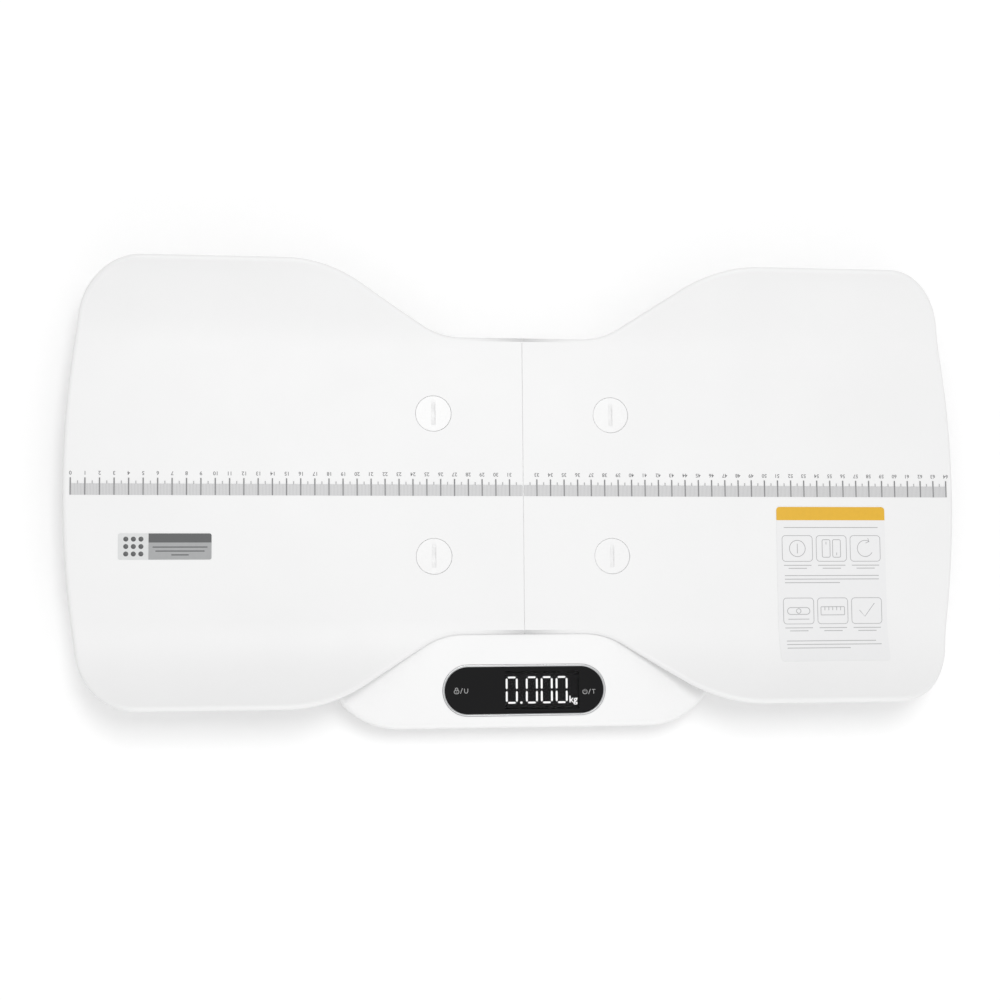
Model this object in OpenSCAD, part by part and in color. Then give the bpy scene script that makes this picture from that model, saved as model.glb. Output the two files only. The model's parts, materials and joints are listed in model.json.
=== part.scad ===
// Digital baby weighing scale: a long two-piece tray screwed to a square platform with a display.
// X runs along the tray, Y from the display towards the back, Z up from the floor.
// The origin is on the floor, under the middle of the object's bounding box.

/* [Tray] */
// Length of the tray, end to end
tray_length = 651; // [600:1:720]
// Depth of the tray across its wings, front to back
tray_depth = 317; // [290:1:345]
// Depth of the tray at its waist
waist_depth = 215; // [195:1:225]
// Distance from the seam to where the waist widens
waist_half = 59; // [50:1:80]
// Distance from the seam to where the wings reach full depth
wing_start = 141; // [130:1:170]
// Rounding of the waist's inner bend
waist_blend = 53; // [30:1:70]
// Rounding of the wing's outer bend
wing_blend = 106; // [50:1:115]
// Rounding of the tray's corners
tray_corner = 45; // [25:1:60]
// How far each end bulges past its corners
end_bulge = 16; // [3:0.5:20]
// Depth of the flat middle of the trough
flat_depth = 194; // [180:1:210]
// Radius of the wings' underside
wing_radius = 85; // [75:1:120]
// Thickness of the tray
tray_wall = 3; // [2.4:0.1:3.4]
// Length of the joining tongues at the seam
tongue_reach = 10; // [6:0.5:14]
// Width of each joining tongue
tongue_width = 30; // [16:1:40]
// Distance between joining tongues
tongue_pitch = 78; // [60:1:84]

/* [Ruler and labels] */
// Length of the ruler
ruler_length = 640; // [560:10:640]
// Width of the ruler's grey band
ruler_width = 8; // [5:0.5:12]
// Thickness of the printed films
film = 0.2; // [0.1:0.05:0.4]
// Thickness of the glue under a film
glue = 0.05; // [0.05:0.01:0.1]
// Small label: width and height
care_size = [63, 20.5];
// Small label: centre, from the middle of the tray
care_at = [-254.5, -43.7];
// Large label: width and height
guide_size = [83, 113.5];
// Large label: centre, from the middle of the tray
guide_at = [230, -72.2];
// Corner rounding of the labels
label_corner = 1.5; // [0.5:0.1:3]

/* [Tray screws] */
// Diameter of the screw heads
head_d = 25.4; // [20:0.1:30]
// Thickness of the screw heads
head_h = 4.3; // [4:0.1:5]
// Distance between the screws along the tray
screw_pitch_x = 130; // [116:1:138]
// Distance between the screws across the tray
screw_pitch_y = 103; // [90:1:112]
// Depth of the coin slot at its middle
slot_depth = 2; // [1:0.1:2.6]
// Length of the coin slot
slot_length = 17; // [12:0.5:18]
// Width of the coin slot
slot_width = 2.8; // [1.5:0.1:3.4]
// Diameter of the screw shank
shank_d = 6; // [5:0.5:8]
// Length of the shank under the head
shank_length = 14; // [11:0.5:15]

/* [Platform] */
// Width of the platform
base_width = 290; // [280:1:310]
// Depth of the platform
base_depth = 277.5; // [268:0.5:290]
// Height of the platform without its feet
base_height = 26; // [26:0.5:32]
// Corner radius of the platform
base_corner = 55; // [48:1:62]
// Rounding of the platform's upper edge
top_edge = 4; // [2:0.5:6]
// Rounding of the platform's lower edge
bottom_edge = 5; // [2:0.5:6]
// Distance from the tray's centre line to the platform's front edge
base_front_reach = 174.5; // [168:0.5:180]
// Thickness of the platform's side walls and floor
base_wall = 2.5; // [2:0.1:3.5]
// Thickness of the platform's roof
roof = 3; // [2.5:0.1:3.5]
// Height of the lower shell
lower_height = 12; // [11:0.5:14]

/* [Display] */
// Window: width and height
lens_size = [115, 33.4];
// Distance from the tray's centre line to the middle of the window
lens_reach = 147.6; // [144:0.1:150]
// Thickness of the window
lens_thick = 1.6; // [1:0.1:2.5]
// Width of the frame around the window
bezel_rim = 1.7; // [1:0.1:3]
// How far the frame stands above the platform
bezel_proud = 0.4; // [0:0.1:1]
// Height of the digits
digit_height = 20.4; // [16:0.1:22]
// Width of the digits
digit_width = 8.8; // [6:0.1:9.5]
// Distance between digits
digit_pitch = 10.9; // [10:0.1:12]
// Thickness of the digits' strokes
stroke = 1.6; // [1:0.1:2]

/* [Feet] */
// Diameter of the feet
foot_d = 44; // [36:1:46]
// Diameter of the rubber pads
pad_d = 38; // [30:1:40]
// Distance from the platform's sides to the middle of a foot
foot_inset = 45; // [42:0.5:50]
// Height of the platform above the floor
foot_drop = 6; // [5:0.5:9]
// Travel of a foot as its load cell bends
foot_travel = 0.5; // [0.3:0.1:0.6]
// Side of a load cell
cell_size = 34; // [32:1:38]
// Thickness of a load cell's plate
cell_plate = 2.5; // [2:0.1:3]

/* [Batteries] */
// Number of batteries
battery_count = 4; // [3:1:4]
// Diameter of a battery
battery_d = 14.2; // [10.2:0.1:14.5]
// Length of a battery with its button
battery_length = 50.5; // [44:0.5:51]
// Length of a compressed battery spring
battery_spring = 6; // [5:0.5:8]
// Middle of the battery box, from the middle of the platform
battery_at = [0, 20];
// Thickness of the battery door
door_thick = 2; // [1.6:0.1:2.4]
// Radius of the door's hinge barrel
barrel_r = 2; // [1.8:0.1:2.4]
// Diameter of the door's pins
door_pin_d = 2.4; // [2:0.1:2.6]

/* [Boards and screws] */
// Main board: width and depth
main_board_size = [80, 40];
// Middle of the main board, from the middle of the platform
main_board_at = [0, -55];
// Thickness of the boards
board = 1.6; // [1:0.1:2]
// Diameter of the self-tapping screws
tap_d = 3; // [2.5:0.1:3.5]
// Diameter of the small board screws
small_tap_d = 2.2; // [2:0.1:2.6]
// Diameter of the wires
wire_d = 2; // [1:0.1:2.4]

/* [Clearances] */
// Gap between pieces that move past each other
gap = 0.3; // [0.3:0.05:0.5]
// Gap between fixed pieces that slip together
slip = 0.15; // [0.1:0.05:0.3]
// Gap around a shaft in its bore, on the radius
running = 0.05; // [0.02:0.01:0.09]

/* [Hidden] */
$fn = 96;

// Overshoot of a cut past the face that it opens
cut = 1;
LEFT = -1;
RIGHT = 1;
FRONT = -1;
BACK = 1;
CORNERS = [for (x = [LEFT, RIGHT], y = [FRONT, BACK]) [x, y]];
// Degrees between the points of an outline's arcs
arc_step = 4;

// Places along Y
tray_y = (base_front_reach - tray_depth / 2) / 2;
base_y = tray_y - base_front_reach + base_depth / 2;
lens_y = tray_y - lens_reach;

// Heights of the platform
base_z = foot_drop;
floor_z = base_z + base_wall;
split_z = base_z + lower_height;
base_top = base_z + base_height;
roof_z = base_top - roof;
lip = 1.2;
lip_h = 2;

// Tray
tray_top = base_top + tray_wall;
// Half the length of the ends' arc, and its radius
end_reach = tray_depth / 2 - tray_corner;
end_r = end_reach * (end_reach / 2 + tray_corner) / end_bulge;
// Slope of the wings at their edges, which are cut square to the surface
wing_lean = asin((tray_depth - flat_depth) / 2 / wing_radius);
tongue_thick = tray_wall / 2 - slip;

// Tray screws, their cups and their inserts
head_top = tray_top - gap;
head_z = head_top - head_h;
cup_d = head_d + 2 * gap;
slot_r = (slot_length * slot_length / 4 + slot_depth * slot_depth) / (2 * slot_depth);
cup_wall = 3;
cup_floor = 1.7;
cup_seat = head_z - gap;
cup_bottom = cup_seat - cup_floor;
recess_d = cup_d + 2 * cup_wall + 2 * slip;
recess_pad = 2.8;
recess_rim = 2.5;
insert_d = 9;
insert_h = 10;
recess_z = cup_bottom - recess_pad;
insert_z = recess_z - insert_h;
insert_boss_d = insert_d + 2 * recess_rim;
shank_hole_d = shank_d + 1;

// Display stack, from the window down
bezel_size = [for (side = lens_size) side + 2 * bezel_rim];
tape = 0.4;
lens_proud = 0.2;
lens_z = base_top + lens_proud - lens_thick;
lens_ledge = lens_z - tape;
ledge_thick = 2.7;
ledge_z = lens_ledge - ledge_thick;
ledge_width = 4.5;
window_size = [for (side = lens_size) side - 2 * ledge_width];
display_frame = 2.5;
segment_thick = 0.3;
bar_gap = 0.2;
display_stack = 10.6;
display_board_z = lens_z - display_stack;
display_board_size = [lens_size[0] + 9, lens_size[1] - 3.4];
block_z = display_board_z + board;
block_top = lens_z - gap - segment_thick;
display_screw_at = [lens_size[0] / 2, display_board_size[1] / 2 - 6];
display_post_d = 6;
touch_d = 8;
touch_wall = 0.8;
touch_inset = 10.5;
touch_x = lens_size[0] / 2 - touch_inset;
block_size = [2 * touch_x - touch_d - 2, window_size[1] - 2];
// Middle of each digit along X; the decimal point stands in a wider gap after the first
first_digit_x = -9;
point_gap = 3.7;
point_inset = 0.4;
digit_x = [for (i = [0 : 3]) first_digit_x + i * digit_pitch + (i > 0 ? point_gap : 0)];
point_x = first_digit_x + (digit_pitch + point_gap) / 2 - point_inset;

// Feet and load cells
foot_at = [base_width / 2 - foot_inset, base_depth / 2 - foot_inset - 1.75];
pad_h = 2;
pad_sink = 1;
foot_clear = 0.5;
foot_h = foot_drop - foot_travel - foot_clear - pad_h + pad_sink;
foot_z = pad_h - pad_sink;
neck_d = 29;
neck_hole_d = neck_d + 1;
flange_d = 34;
flange_h = 2.2;
flange_z = floor_z + foot_clear;
cell_gap = foot_travel + 0.4;
cell_z = flange_z + flange_h + cell_gap;
well_wall = 2.7;
well_size = cell_size + 2 * slip;
well_outer = well_size + 2 * well_wall;
gauge_h = 0.9;
gauge_room = 2.4;
well_top = cell_z + cell_plate + gauge_room;
clip_thick = 2;
clip_window = cell_size - 6;
gauge_size = [8, 6];
wire_z = cell_z + cell_plate + gauge_room / 2 + 0.2;
wire_notch = wire_d + 4 * gap;
back_wire_x = foot_at[0] - well_outer / 2 - 4;

// Screws between the shells
corner_screw_inset = [60, 16.75];
side_screw_inset = 13;
pan_d = 2 * tap_d;
pan_h = 2.2;
pan_sink = 0.6;
shell_pad_d = pan_d + 3;
shell_pad_top = base_z + pan_sink + pan_h + 2.2;
shell_screw_length = 11;
shell_boss_d = tap_d + 2 * recess_rim;

// Battery box
battery_pitch = battery_d + 0.8;
box_inner_x = battery_count * battery_pitch + 2;
box_inner_y = battery_length + battery_spring + 1;
box_wall = 2;
box_end_wall = 4.25;
box_end = box_inner_y / 2 + box_end_wall;
door_clear = 0.4;
barrel_inset = 2.4;
barrel_lift = 0.2;
barrel_y = box_end - barrel_r - barrel_inset;
barrel_z = base_z + barrel_r + barrel_lift;
open_back = barrel_y + barrel_r + barrel_lift + door_clear;
open_front = -open_back;
ledge_over_barrel = barrel_z + barrel_r + gap;
box_ceiling = 2;
battery_z = ledge_over_barrel + battery_d / 2;
battery_headroom = 0.9;
box_top = battery_z + battery_d / 2 + battery_headroom;
contact = 0.5;
battery_button = 1.3;
button_d = 5.5;
spring_d = 8;
spring_wall = 0.8;
contact_size = [10, 12];
latch = [14, 1.2];
grip_d = 12;
grip_depth = 0.8;
grip_inset = 8;
door_rib = 1.6;
door_rib_at = 12;
contact_face = box_inner_y / 2 - contact;

// Main board
standoff_h = 3.5;
main_board_z = floor_z + standoff_h;
main_board_top = main_board_z + board;
board_screw_inset = 4;
standoff_d = 6;
plug_size = [8, 6, 5];
plug_reach = 10;
ribbon_width = 16;
ribbon_thick = 0.6;
ribbon_plug = [18, 5, 2.4];
ribbon_plug_y = -16;
supply_plug = [6, 5];
supply_plug_y = main_board_size[1] / 2 - supply_plug[1] / 2 - 0.5;
screw_head_h = 1.6;
display_screw_grip = 5;
board_screw_grip = 2.6;

module stadium(size) {
    square([size[0] - size[1], size[1]], center = true);
    for (side = [LEFT, RIGHT]) translate([side * (size[0] - size[1]) / 2, 0]) circle(d = size[1]);
}

module rounded_rect(size, r) {
    square([size[0] - 2 * r, size[1]], center = true);
    square([size[0], size[1] - 2 * r], center = true);
    for (c = CORNERS) translate([c[0] * (size[0] / 2 - r), c[1] * (size[1] / 2 - r)]) circle(r = r);
}

// A flat plate from height z up
module slab(z, h, size) {
    translate([-size[0] / 2, -size[1] / 2, z]) cube([size[0], size[1], h]);
}

module disc(z, h, d) {
    translate([0, 0, z]) cylinder(d = d, h = h);
}

module ring(z, h, outer_d, inner_d) {
    difference() {
        disc(z, h, outer_d);
        disc(z - cut, h + 2 * cut, inner_d);
    }
}

module at_corners(at) {
    for (c = CORNERS) translate([c[0] * at[0], c[1] * at[1], 0]) children();
}

// Half section of a block whose top edge is rounded: reach along X, height along Y
module rounded_profile(reach, h, edge_r) {
    square([reach, h - edge_r]);
    square([reach - edge_r, h]);
    intersection() {
        translate([reach - edge_r, h - edge_r]) circle(r = edge_r);
        square([reach, h]);
    }
}

// A rounded block standing on z = 0 whose top edge is rounded all round: corners, and the sides between them
module soft_block(size, h, corner_r, edge_r) {
    side = [size[0] / 2 - corner_r, size[1] / 2 - corner_r];
    for (turn = [0 : 3]) rotate([0, 0, 90 * turn]) {
        along = side[turn % 2 == 0 ? 1 : 0];
        across = side[turn % 2];
        translate([across, along, 0]) rotate_extrude(angle = 90) rounded_profile(corner_r, h, edge_r);
        translate([across, along, 0]) rotate([90, 0, 0])
            linear_extrude(2 * along) rounded_profile(corner_r, h, edge_r);
    }
    slab(0, h, 2 * side);
}

function turned(v, a) = [v[0] * cos(a) - v[1] * sin(a), v[0] * sin(a) + v[1] * cos(a)];

// Points of the arc of radius r that rounds the corner b between a and c
function rounded_corner(a, b, c, r) =
    let (u = (a - b) / norm(a - b),
        v = (c - b) / norm(c - b),
        half = acos(u * v) / 2,
        centre = b + (u + v) / norm(u + v) * r / sin(half),
        start = b + u * r / tan(half) - centre,
        sweep = (180 - 2 * half) * sign(cross(b - a, c - b)),
        steps = max(3, ceil(abs(sweep) / arc_step)))
    [for (i = [0 : steps]) centre + turned(start, sweep * i / steps)];

// Plan of the tray's right half: from the seam along the front edge to the end, and back along the rear edge
function half_plan() =
    let (waist = waist_depth / 2,
        wing = tray_depth / 2,
        tip = [tray_length / 2 + end_reach * end_reach / (2 * end_r), 0],
        front = [[0, -waist], [waist_half, -waist], [wing_start, -wing],
            [tray_length / 2 - end_bulge, -wing], tip],
        edge = concat([front[0]],
            rounded_corner(front[0], front[1], front[2], waist_blend),
            rounded_corner(front[1], front[2], front[3], wing_blend),
            rounded_corner(front[2], front[3], front[4], tray_corner)))
    concat(edge, end_curve(), [for (i = [len(edge) - 1 : -1 : 0]) [edge[i][0], -edge[i][1]]]);

// The bulged end: a shallow arc through the tray's tip that meets the corners' straight legs at a tangent
function end_curve() =
    let (a = asin(end_reach / end_r))
    [for (i = [-5 : 5]) [tray_length / 2 - end_r + end_r * cos(a * i / 5), end_r * sin(a * i / 5)]];

// Section of the trough between heights low and high above its underside, measured square to its surface
module trough_section(low, high) {
    translate([-flat_depth / 2, low]) square([flat_depth, high - low]);
    for (side = [-1, 1]) mirror([side < 0 ? 1 : 0, 0]) translate([flat_depth / 2, 0]) intersection() {
        translate([0, wing_radius]) difference() {
            circle(r = wing_radius - low, $fn = 180);
            circle(r = wing_radius - high, $fn = 180);
        }
        polygon([[0, wing_radius], [0, -cut],
            [2 * wing_radius * sin(wing_lean), wing_radius - 2 * wing_radius * cos(wing_lean)]]);
    }
}

module trough(low, high) {
    translate([-tray_length / 2 - cut, tray_y, base_top]) rotate([90, 0, 90])
        linear_extrude(tray_length + 2 * cut) trough_section(low, high);
}

module half_shell(side) {
    intersection() {
        trough(0, tray_wall);
        translate([0, tray_y, base_top - cut]) mirror([side == LEFT ? 1 : 0, 0, 0])
            linear_extrude(wing_radius + cut) polygon(half_plan());
    }
}

module tongues(width, reach, height) {
    for (i = [-1 : 1]) translate([-cut, tray_y + i * tongue_pitch - width / 2, base_top])
        cube([reach + cut, width, height]);
}

module screw_places(side) {
    for (y = [FRONT, BACK])
        translate([side * screw_pitch_x / 2, tray_y + y * screw_pitch_y / 2, 0]) children();
}

module tray_half(side) {
    difference() {
        union() {
            half_shell(side);
            screw_places(side) disc(cup_bottom, tray_top - cup_bottom, cup_d + 2 * cup_wall);
        }
        screw_places(side) {
            disc(cup_seat, tray_top - cup_seat + cut, cup_d);
            disc(cup_bottom - cut, cup_floor + 2 * cut, shank_hole_d);
        }
        if (side == RIGHT)
            translate([0, 0, -cut])
                tongues(tongue_width + 2 * slip, tongue_reach + slip, tongue_thick + slip + cut);
    }
    if (side == LEFT) tongues(tongue_width, tongue_reach, tongue_thick);
}

module tray_left() {
    color("white") tray_half(LEFT);
}

module tray_right() {
    color("white") tray_half(RIGHT);
}

module ruler_strip(side) {
    x = side == LEFT ? -ruler_length / 2 : 0;
    translate([x, tray_y - ruler_width, tray_top + glue]) cube([ruler_length / 2, ruler_width, film]);
}

module ruler_strip_left() {
    color("silver") ruler_strip(LEFT);
}

module ruler_strip_right() {
    color("silver") ruler_strip(RIGHT);
}

// A printed film that follows the trough's upper surface
module label(size, at) {
    intersection() {
        trough(tray_wall + glue, tray_wall + glue + film);
        translate([at[0], tray_y + at[1], base_top])
            linear_extrude(wing_radius) rounded_rect(size, label_corner);
    }
}

module care_label() {
    color("gray") label(care_size, care_at);
}

module guide_label() {
    color("gainsboro") label(guide_size, guide_at);
}

// A coin screw: flat head whose slot has a floor curved like a coin, and a shank that runs in its insert
module tray_screw(x, y) {
    color("white") translate([x * screw_pitch_x / 2, tray_y + y * screw_pitch_y / 2, 0]) {
        difference() {
            disc(head_z, head_h, head_d);
            translate([0, 0, head_top + slot_r - slot_depth]) rotate([0, 90, 0])
                cylinder(r = slot_r, h = slot_width, center = true);
        }
        disc(head_z - shank_length, shank_length, shank_d);
    }
}

module tray_screw_front_left() {
    tray_screw(LEFT, FRONT);
}

module tray_screw_front_right() {
    tray_screw(RIGHT, FRONT);
}

module tray_screw_back_left() {
    tray_screw(LEFT, BACK);
}

module tray_screw_back_right() {
    tray_screw(RIGHT, BACK);
}

module tray_inserts() {
    color("goldenrod") for (side = [LEFT, RIGHT]) screw_places(side)
        ring(insert_z, insert_h, insert_d, shank_d + 2 * running);
}

module on_base() {
    translate([0, base_y, 0]) children();
}

module on_display() {
    translate([0, lens_y, 0]) children();
}

module shell_screw_places() {
    on_base() {
        at_corners([base_width / 2 - corner_screw_inset[0], base_depth / 2 - corner_screw_inset[1]])
            children();
        for (side = [LEFT, RIGHT]) translate([side * (base_width / 2 - side_screw_inset), 0, 0]) children();
    }
}

// Space inside the platform's walls
module base_inside(low, high, inset) {
    on_base() translate([0, 0, low]) linear_extrude(high - low)
        rounded_rect([base_width - 2 * inset, base_depth - 2 * inset], base_corner - inset);
}

module base_top_cover() {
    color("white") {
        difference() {
            on_base() translate([0, 0, split_z])
                soft_block([base_width, base_depth], base_top - split_z, base_corner, top_edge);
            base_inside(split_z - cut, roof_z, base_wall);
            for (side = [LEFT, RIGHT])
                screw_places(side) disc(cup_bottom, base_top - cup_bottom + cut, recess_d);
            on_display() {
                translate([0, 0, lens_ledge]) linear_extrude(roof + cut)
                    stadium([for (side = bezel_size) side + 2 * slip]);
                translate([0, 0, ledge_z - cut]) linear_extrude(roof + 2 * cut) stadium(window_size);
            }
        }
        top_cover_bosses();
    }
}

module top_cover_bosses() {
    for (side = [LEFT, RIGHT]) screw_places(side) {
        difference() {
            disc(recess_z, roof_z - recess_z, recess_d + 2 * recess_rim);
            disc(cup_bottom, roof_z, recess_d);
            disc(recess_z - cut, recess_pad + 2 * cut, insert_d + 2 * slip);
        }
        ring(insert_z, insert_h, insert_boss_d, insert_d + 2 * running);
    }
    shell_screw_places()
        ring(shell_pad_top + slip, roof_z - shell_pad_top - slip, shell_boss_d, tap_d + 2 * slip);
    on_display() {
        translate([0, 0, ledge_z]) linear_extrude(roof_z - ledge_z) difference() {
            stadium([for (side = bezel_size) side + 2 * display_frame]);
            stadium(window_size);
        }
        at_corners(display_screw_at) ring(block_z, ledge_z - block_z, display_post_d, small_tap_d + 2 * slip);
    }
}

module base_bottom_cover() {
    color("white") difference() {
        union() {
            bottom_pan();
            shell_screw_places() disc(base_z, shell_pad_top - base_z, shell_pad_d);
            on_base() {
                at_corners(foot_at) cell_well();
                battery_box();
                at_board_screws() disc(floor_z, standoff_h, standoff_d);
            }
        }
        shell_screw_places() {
            disc(base_z - cut, pan_sink + pan_h + cut, pan_d + 2 * slip);
            disc(base_z - cut, shell_pad_top - base_z + 2 * cut, tap_d + 2 * slip);
        }
        on_base() {
            at_corners(foot_at) disc(base_z - cut, base_wall + 2 * cut, neck_hole_d);
            battery_hollow();
            at_board_screws() disc(floor_z + gap, standoff_h, small_tap_d + 2 * slip);
        }
    }
}

// The lower shell's floor and walls, with a lip that locates the upper shell
module bottom_pan() {
    difference() {
        on_base() translate([0, 0, split_z]) mirror([0, 0, 1])
            soft_block([base_width, base_depth], lower_height, base_corner, bottom_edge);
        base_inside(floor_z, split_z + cut, base_wall);
    }
    difference() {
        base_inside(floor_z, split_z + lip_h, base_wall + slip);
        base_inside(floor_z - cut, split_z + lip_h + cut, base_wall + slip + lip);
    }
}

// A square well that holds a load cell by its corners and edges
module cell_well() {
    difference() {
        slab(floor_z, well_top - floor_z, [well_outer, well_outer]);
        slab(cell_z, well_top - cell_z + cut, [well_size, well_size]);
        disc(floor_z - cut, cell_z - floor_z + 2 * cut, flange_d + 2);
        slab(wire_z - wire_notch / 2, well_top, [well_outer + 2 * cut, wire_notch]);
    }
}

module battery_box() {
    translate([battery_at[0], battery_at[1], 0])
        slab(floor_z, box_top + box_ceiling - floor_z, [box_inner_x + 2 * box_wall, 2 * box_end]);
}

module battery_hollow() {
    translate([battery_at[0], battery_at[1], 0]) {
        slab(ledge_over_barrel - cut, box_top - ledge_over_barrel + cut, [box_inner_x, box_inner_y]);
        translate([-box_inner_x / 2, open_front, base_z - cut])
            cube([box_inner_x, open_back - open_front, ledge_over_barrel - base_z + cut]);
        translate([0, barrel_y, barrel_z]) rotate([0, 90, 0])
            cylinder(d = door_pin_d + 2 * running, h = box_inner_x + 2 * box_wall + 2 * cut, center = true);
    }
}

module base_screws() {
    color("silver") shell_screw_places() {
        disc(base_z + pan_sink, pan_h, pan_d);
        disc(base_z + pan_sink, pan_h + shell_screw_length, tap_d);
    }
}

module display_bezel() {
    color("silver") on_display() translate([0, 0, lens_ledge])
        linear_extrude(base_top + bezel_proud - lens_ledge) difference() {
            stadium(bezel_size);
            stadium([for (side = lens_size) side + 2 * slip]);
        }
}

module display_lens() {
    color("black") on_display() translate([0, 0, lens_z]) linear_extrude(lens_thick) stadium(lens_size);
}

module lens_tape() {
    color("dimgray") on_display() translate([0, 0, lens_ledge]) linear_extrude(tape) difference() {
        stadium(lens_size);
        stadium(window_size);
    }
}

module digit_block() {
    color("darkslategray") on_display() slab(block_z, block_top - block_z, block_size);
}

// The seven bars of one digit; a zero leaves the middle bar dark
module digit_bars() {
    bar = [digit_width - 2 * stroke - 2 * bar_gap, stroke];
    rise = digit_height / 2 - stroke / 2;
    for (y = [-rise, rise]) translate([0, y, 0]) slab(block_top, segment_thick, bar);
    for (x = [-1, 1], y = [-1, 1])
        translate([x * (digit_width - stroke) / 2, y * (rise / 2), 0])
            slab(block_top, segment_thick, [stroke, rise - stroke / 2]);
}

module digit_segments() {
    color("white") on_display() {
        for (x = digit_x) translate([x, 0, 0]) digit_bars();
        translate([point_x, -digit_height / 2 + stroke / 2, 0])
            slab(block_top, segment_thick, [stroke, stroke]);
    }
}

module display_board() {
    color("darkgreen") on_display() difference() {
        slab(display_board_z, board, display_board_size);
        at_corners(display_screw_at) disc(display_board_z - cut, board + 2 * cut, small_tap_d + 2 * slip);
    }
}

module display_screws() {
    color("silver") on_display() at_corners(display_screw_at) {
        disc(display_board_z - screw_head_h, screw_head_h, 2 * small_tap_d);
        disc(display_board_z, board + display_screw_grip - screw_head_h, small_tap_d);
    }
}

module touch_spring(side) {
    color("goldenrod") on_display() translate([side * touch_x, 0, 0])
        ring(block_z, lens_z - block_z, touch_d, touch_d - 2 * touch_wall);
}

module touch_spring_left() {
    touch_spring(LEFT);
}

module touch_spring_right() {
    touch_spring(RIGHT);
}

module foot(x, y) {
    color("whitesmoke") on_base() translate([x * foot_at[0], y * foot_at[1], 0]) difference() {
        union() {
            disc(foot_z, foot_h, foot_d);
            disc(foot_z, flange_z - foot_z, neck_d);
            disc(flange_z, flange_h, flange_d);
        }
        disc(foot_z - cut, pad_sink + cut, pad_d + 2 * slip);
    }
}

module foot_front_left() {
    foot(LEFT, FRONT);
}

module foot_front_right() {
    foot(RIGHT, FRONT);
}

module foot_back_left() {
    foot(LEFT, BACK);
}

module foot_back_right() {
    foot(RIGHT, BACK);
}

module foot_pad(x, y) {
    color("dimgray") on_base() translate([x * foot_at[0], y * foot_at[1], 0]) disc(0, pad_h, pad_d);
}

module foot_pad_front_left() {
    foot_pad(LEFT, FRONT);
}

module foot_pad_front_right() {
    foot_pad(RIGHT, FRONT);
}

module foot_pad_back_left() {
    foot_pad(LEFT, BACK);
}

module foot_pad_back_right() {
    foot_pad(RIGHT, BACK);
}

// A strain-gauge plate: a square frame with a tongue that bends, and the sealed gauge on it
module load_cell(x, y) {
    tongue = cell_size / 2;
    slot = 2;
    color("lightgray") on_base() translate([x * foot_at[0], y * foot_at[1], 0]) {
        difference() {
            slab(cell_z, cell_plate, [cell_size, cell_size]);
            difference() {
                slab(cell_z - cut, cell_plate + 2 * cut, [tongue, tongue]);
                translate([0, -slot, 0])
                    slab(cell_z - 2 * cut, cell_plate + 4 * cut, [tongue - 2 * slot, tongue]);
            }
        }
        slab(cell_z + cell_plate, gauge_h, gauge_size);
    }
}

module load_cell_front_left() {
    load_cell(LEFT, FRONT);
}

module load_cell_front_right() {
    load_cell(RIGHT, FRONT);
}

module load_cell_back_left() {
    load_cell(LEFT, BACK);
}

module load_cell_back_right() {
    load_cell(RIGHT, BACK);
}

module load_cell_clips() {
    color("whitesmoke") on_base() at_corners(foot_at) difference() {
        union() {
            slab(well_top, clip_thick, [well_outer, well_outer]);
            slab(cell_z + cell_plate, well_top - cell_z - cell_plate, [cell_size, cell_size]);
        }
        slab(cell_z, well_top + clip_thick, [clip_window, clip_window]);
        slab(wire_z - wire_notch / 2, wire_notch, [well_outer + 2 * cut, wire_notch]);
    }
}

// A straight wire from a to b
module wire_run(a, b) {
    along = b - a;
    translate(a) rotate([0, acos(along[2] / norm(along)), atan2(along[1], along[0])])
        cylinder(d = wire_d, h = norm(along), $fn = 24);
}

// A wire through the points of a route, with a ball at each bend
module wire_route(route) {
    for (i = [1 : len(route) - 1]) wire_run(route[i - 1], route[i]);
    for (i = [1 : 1 : len(route) - 2]) translate(route[i]) sphere(d = wire_d, $fn = 24);
}

module load_cell_wires() {
    gauge_x = foot_at[0] - gauge_size[0] / 2 - gap;
    plug_x = main_board_size[0] / 2 + slip;
    color("red") on_base() for (side = [LEFT, RIGHT], end = [FRONT, BACK]) {
        bend_x = end == FRONT ? plug_x + 10 : back_wire_x;
        stop_y = main_board_at[1] + end * plug_reach;
        wire_route([[side * gauge_x, end * foot_at[1], wire_z], [side * bend_x, end * foot_at[1], wire_z],
            [side * bend_x, stop_y, wire_z], [side * plug_x, stop_y, wire_z]]);
    }
}

module at_board_screws() {
    translate([main_board_at[0], main_board_at[1], 0])
        at_corners([for (side = main_board_size) side / 2 - board_screw_inset]) children();
}

module main_board() {
    color("darkgreen") on_base() difference() {
        translate([main_board_at[0], main_board_at[1], 0]) slab(main_board_z, board, main_board_size);
        at_board_screws() disc(main_board_z - cut, board + 2 * cut, small_tap_d + 2 * slip);
    }
}

module board_parts() {
    color("ivory") on_base() translate([main_board_at[0], main_board_at[1], 0]) {
        at_corners([(main_board_size[0] - plug_size[0]) / 2, plug_reach])
            slab(main_board_top, plug_size[2], plug_size);
        translate([0, ribbon_plug_y, 0]) slab(main_board_top, ribbon_plug[2], ribbon_plug);
        translate([-12, 2, 0]) slab(main_board_top, 1.6, [10, 10]);
        translate([12, 2, 0]) slab(main_board_top, 1.4, [8, 6]);
        translate([24, 4, 0]) disc(main_board_top, 6, 5);
        translate([0, supply_plug_y, 0]) slab(main_board_top, plug_size[2], supply_plug);
    }
}

module board_screws() {
    color("silver") on_base() at_board_screws() {
        disc(main_board_top, screw_head_h, 2 * small_tap_d);
        disc(main_board_z - board_screw_grip, board + board_screw_grip, small_tap_d);
    }
}

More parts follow.
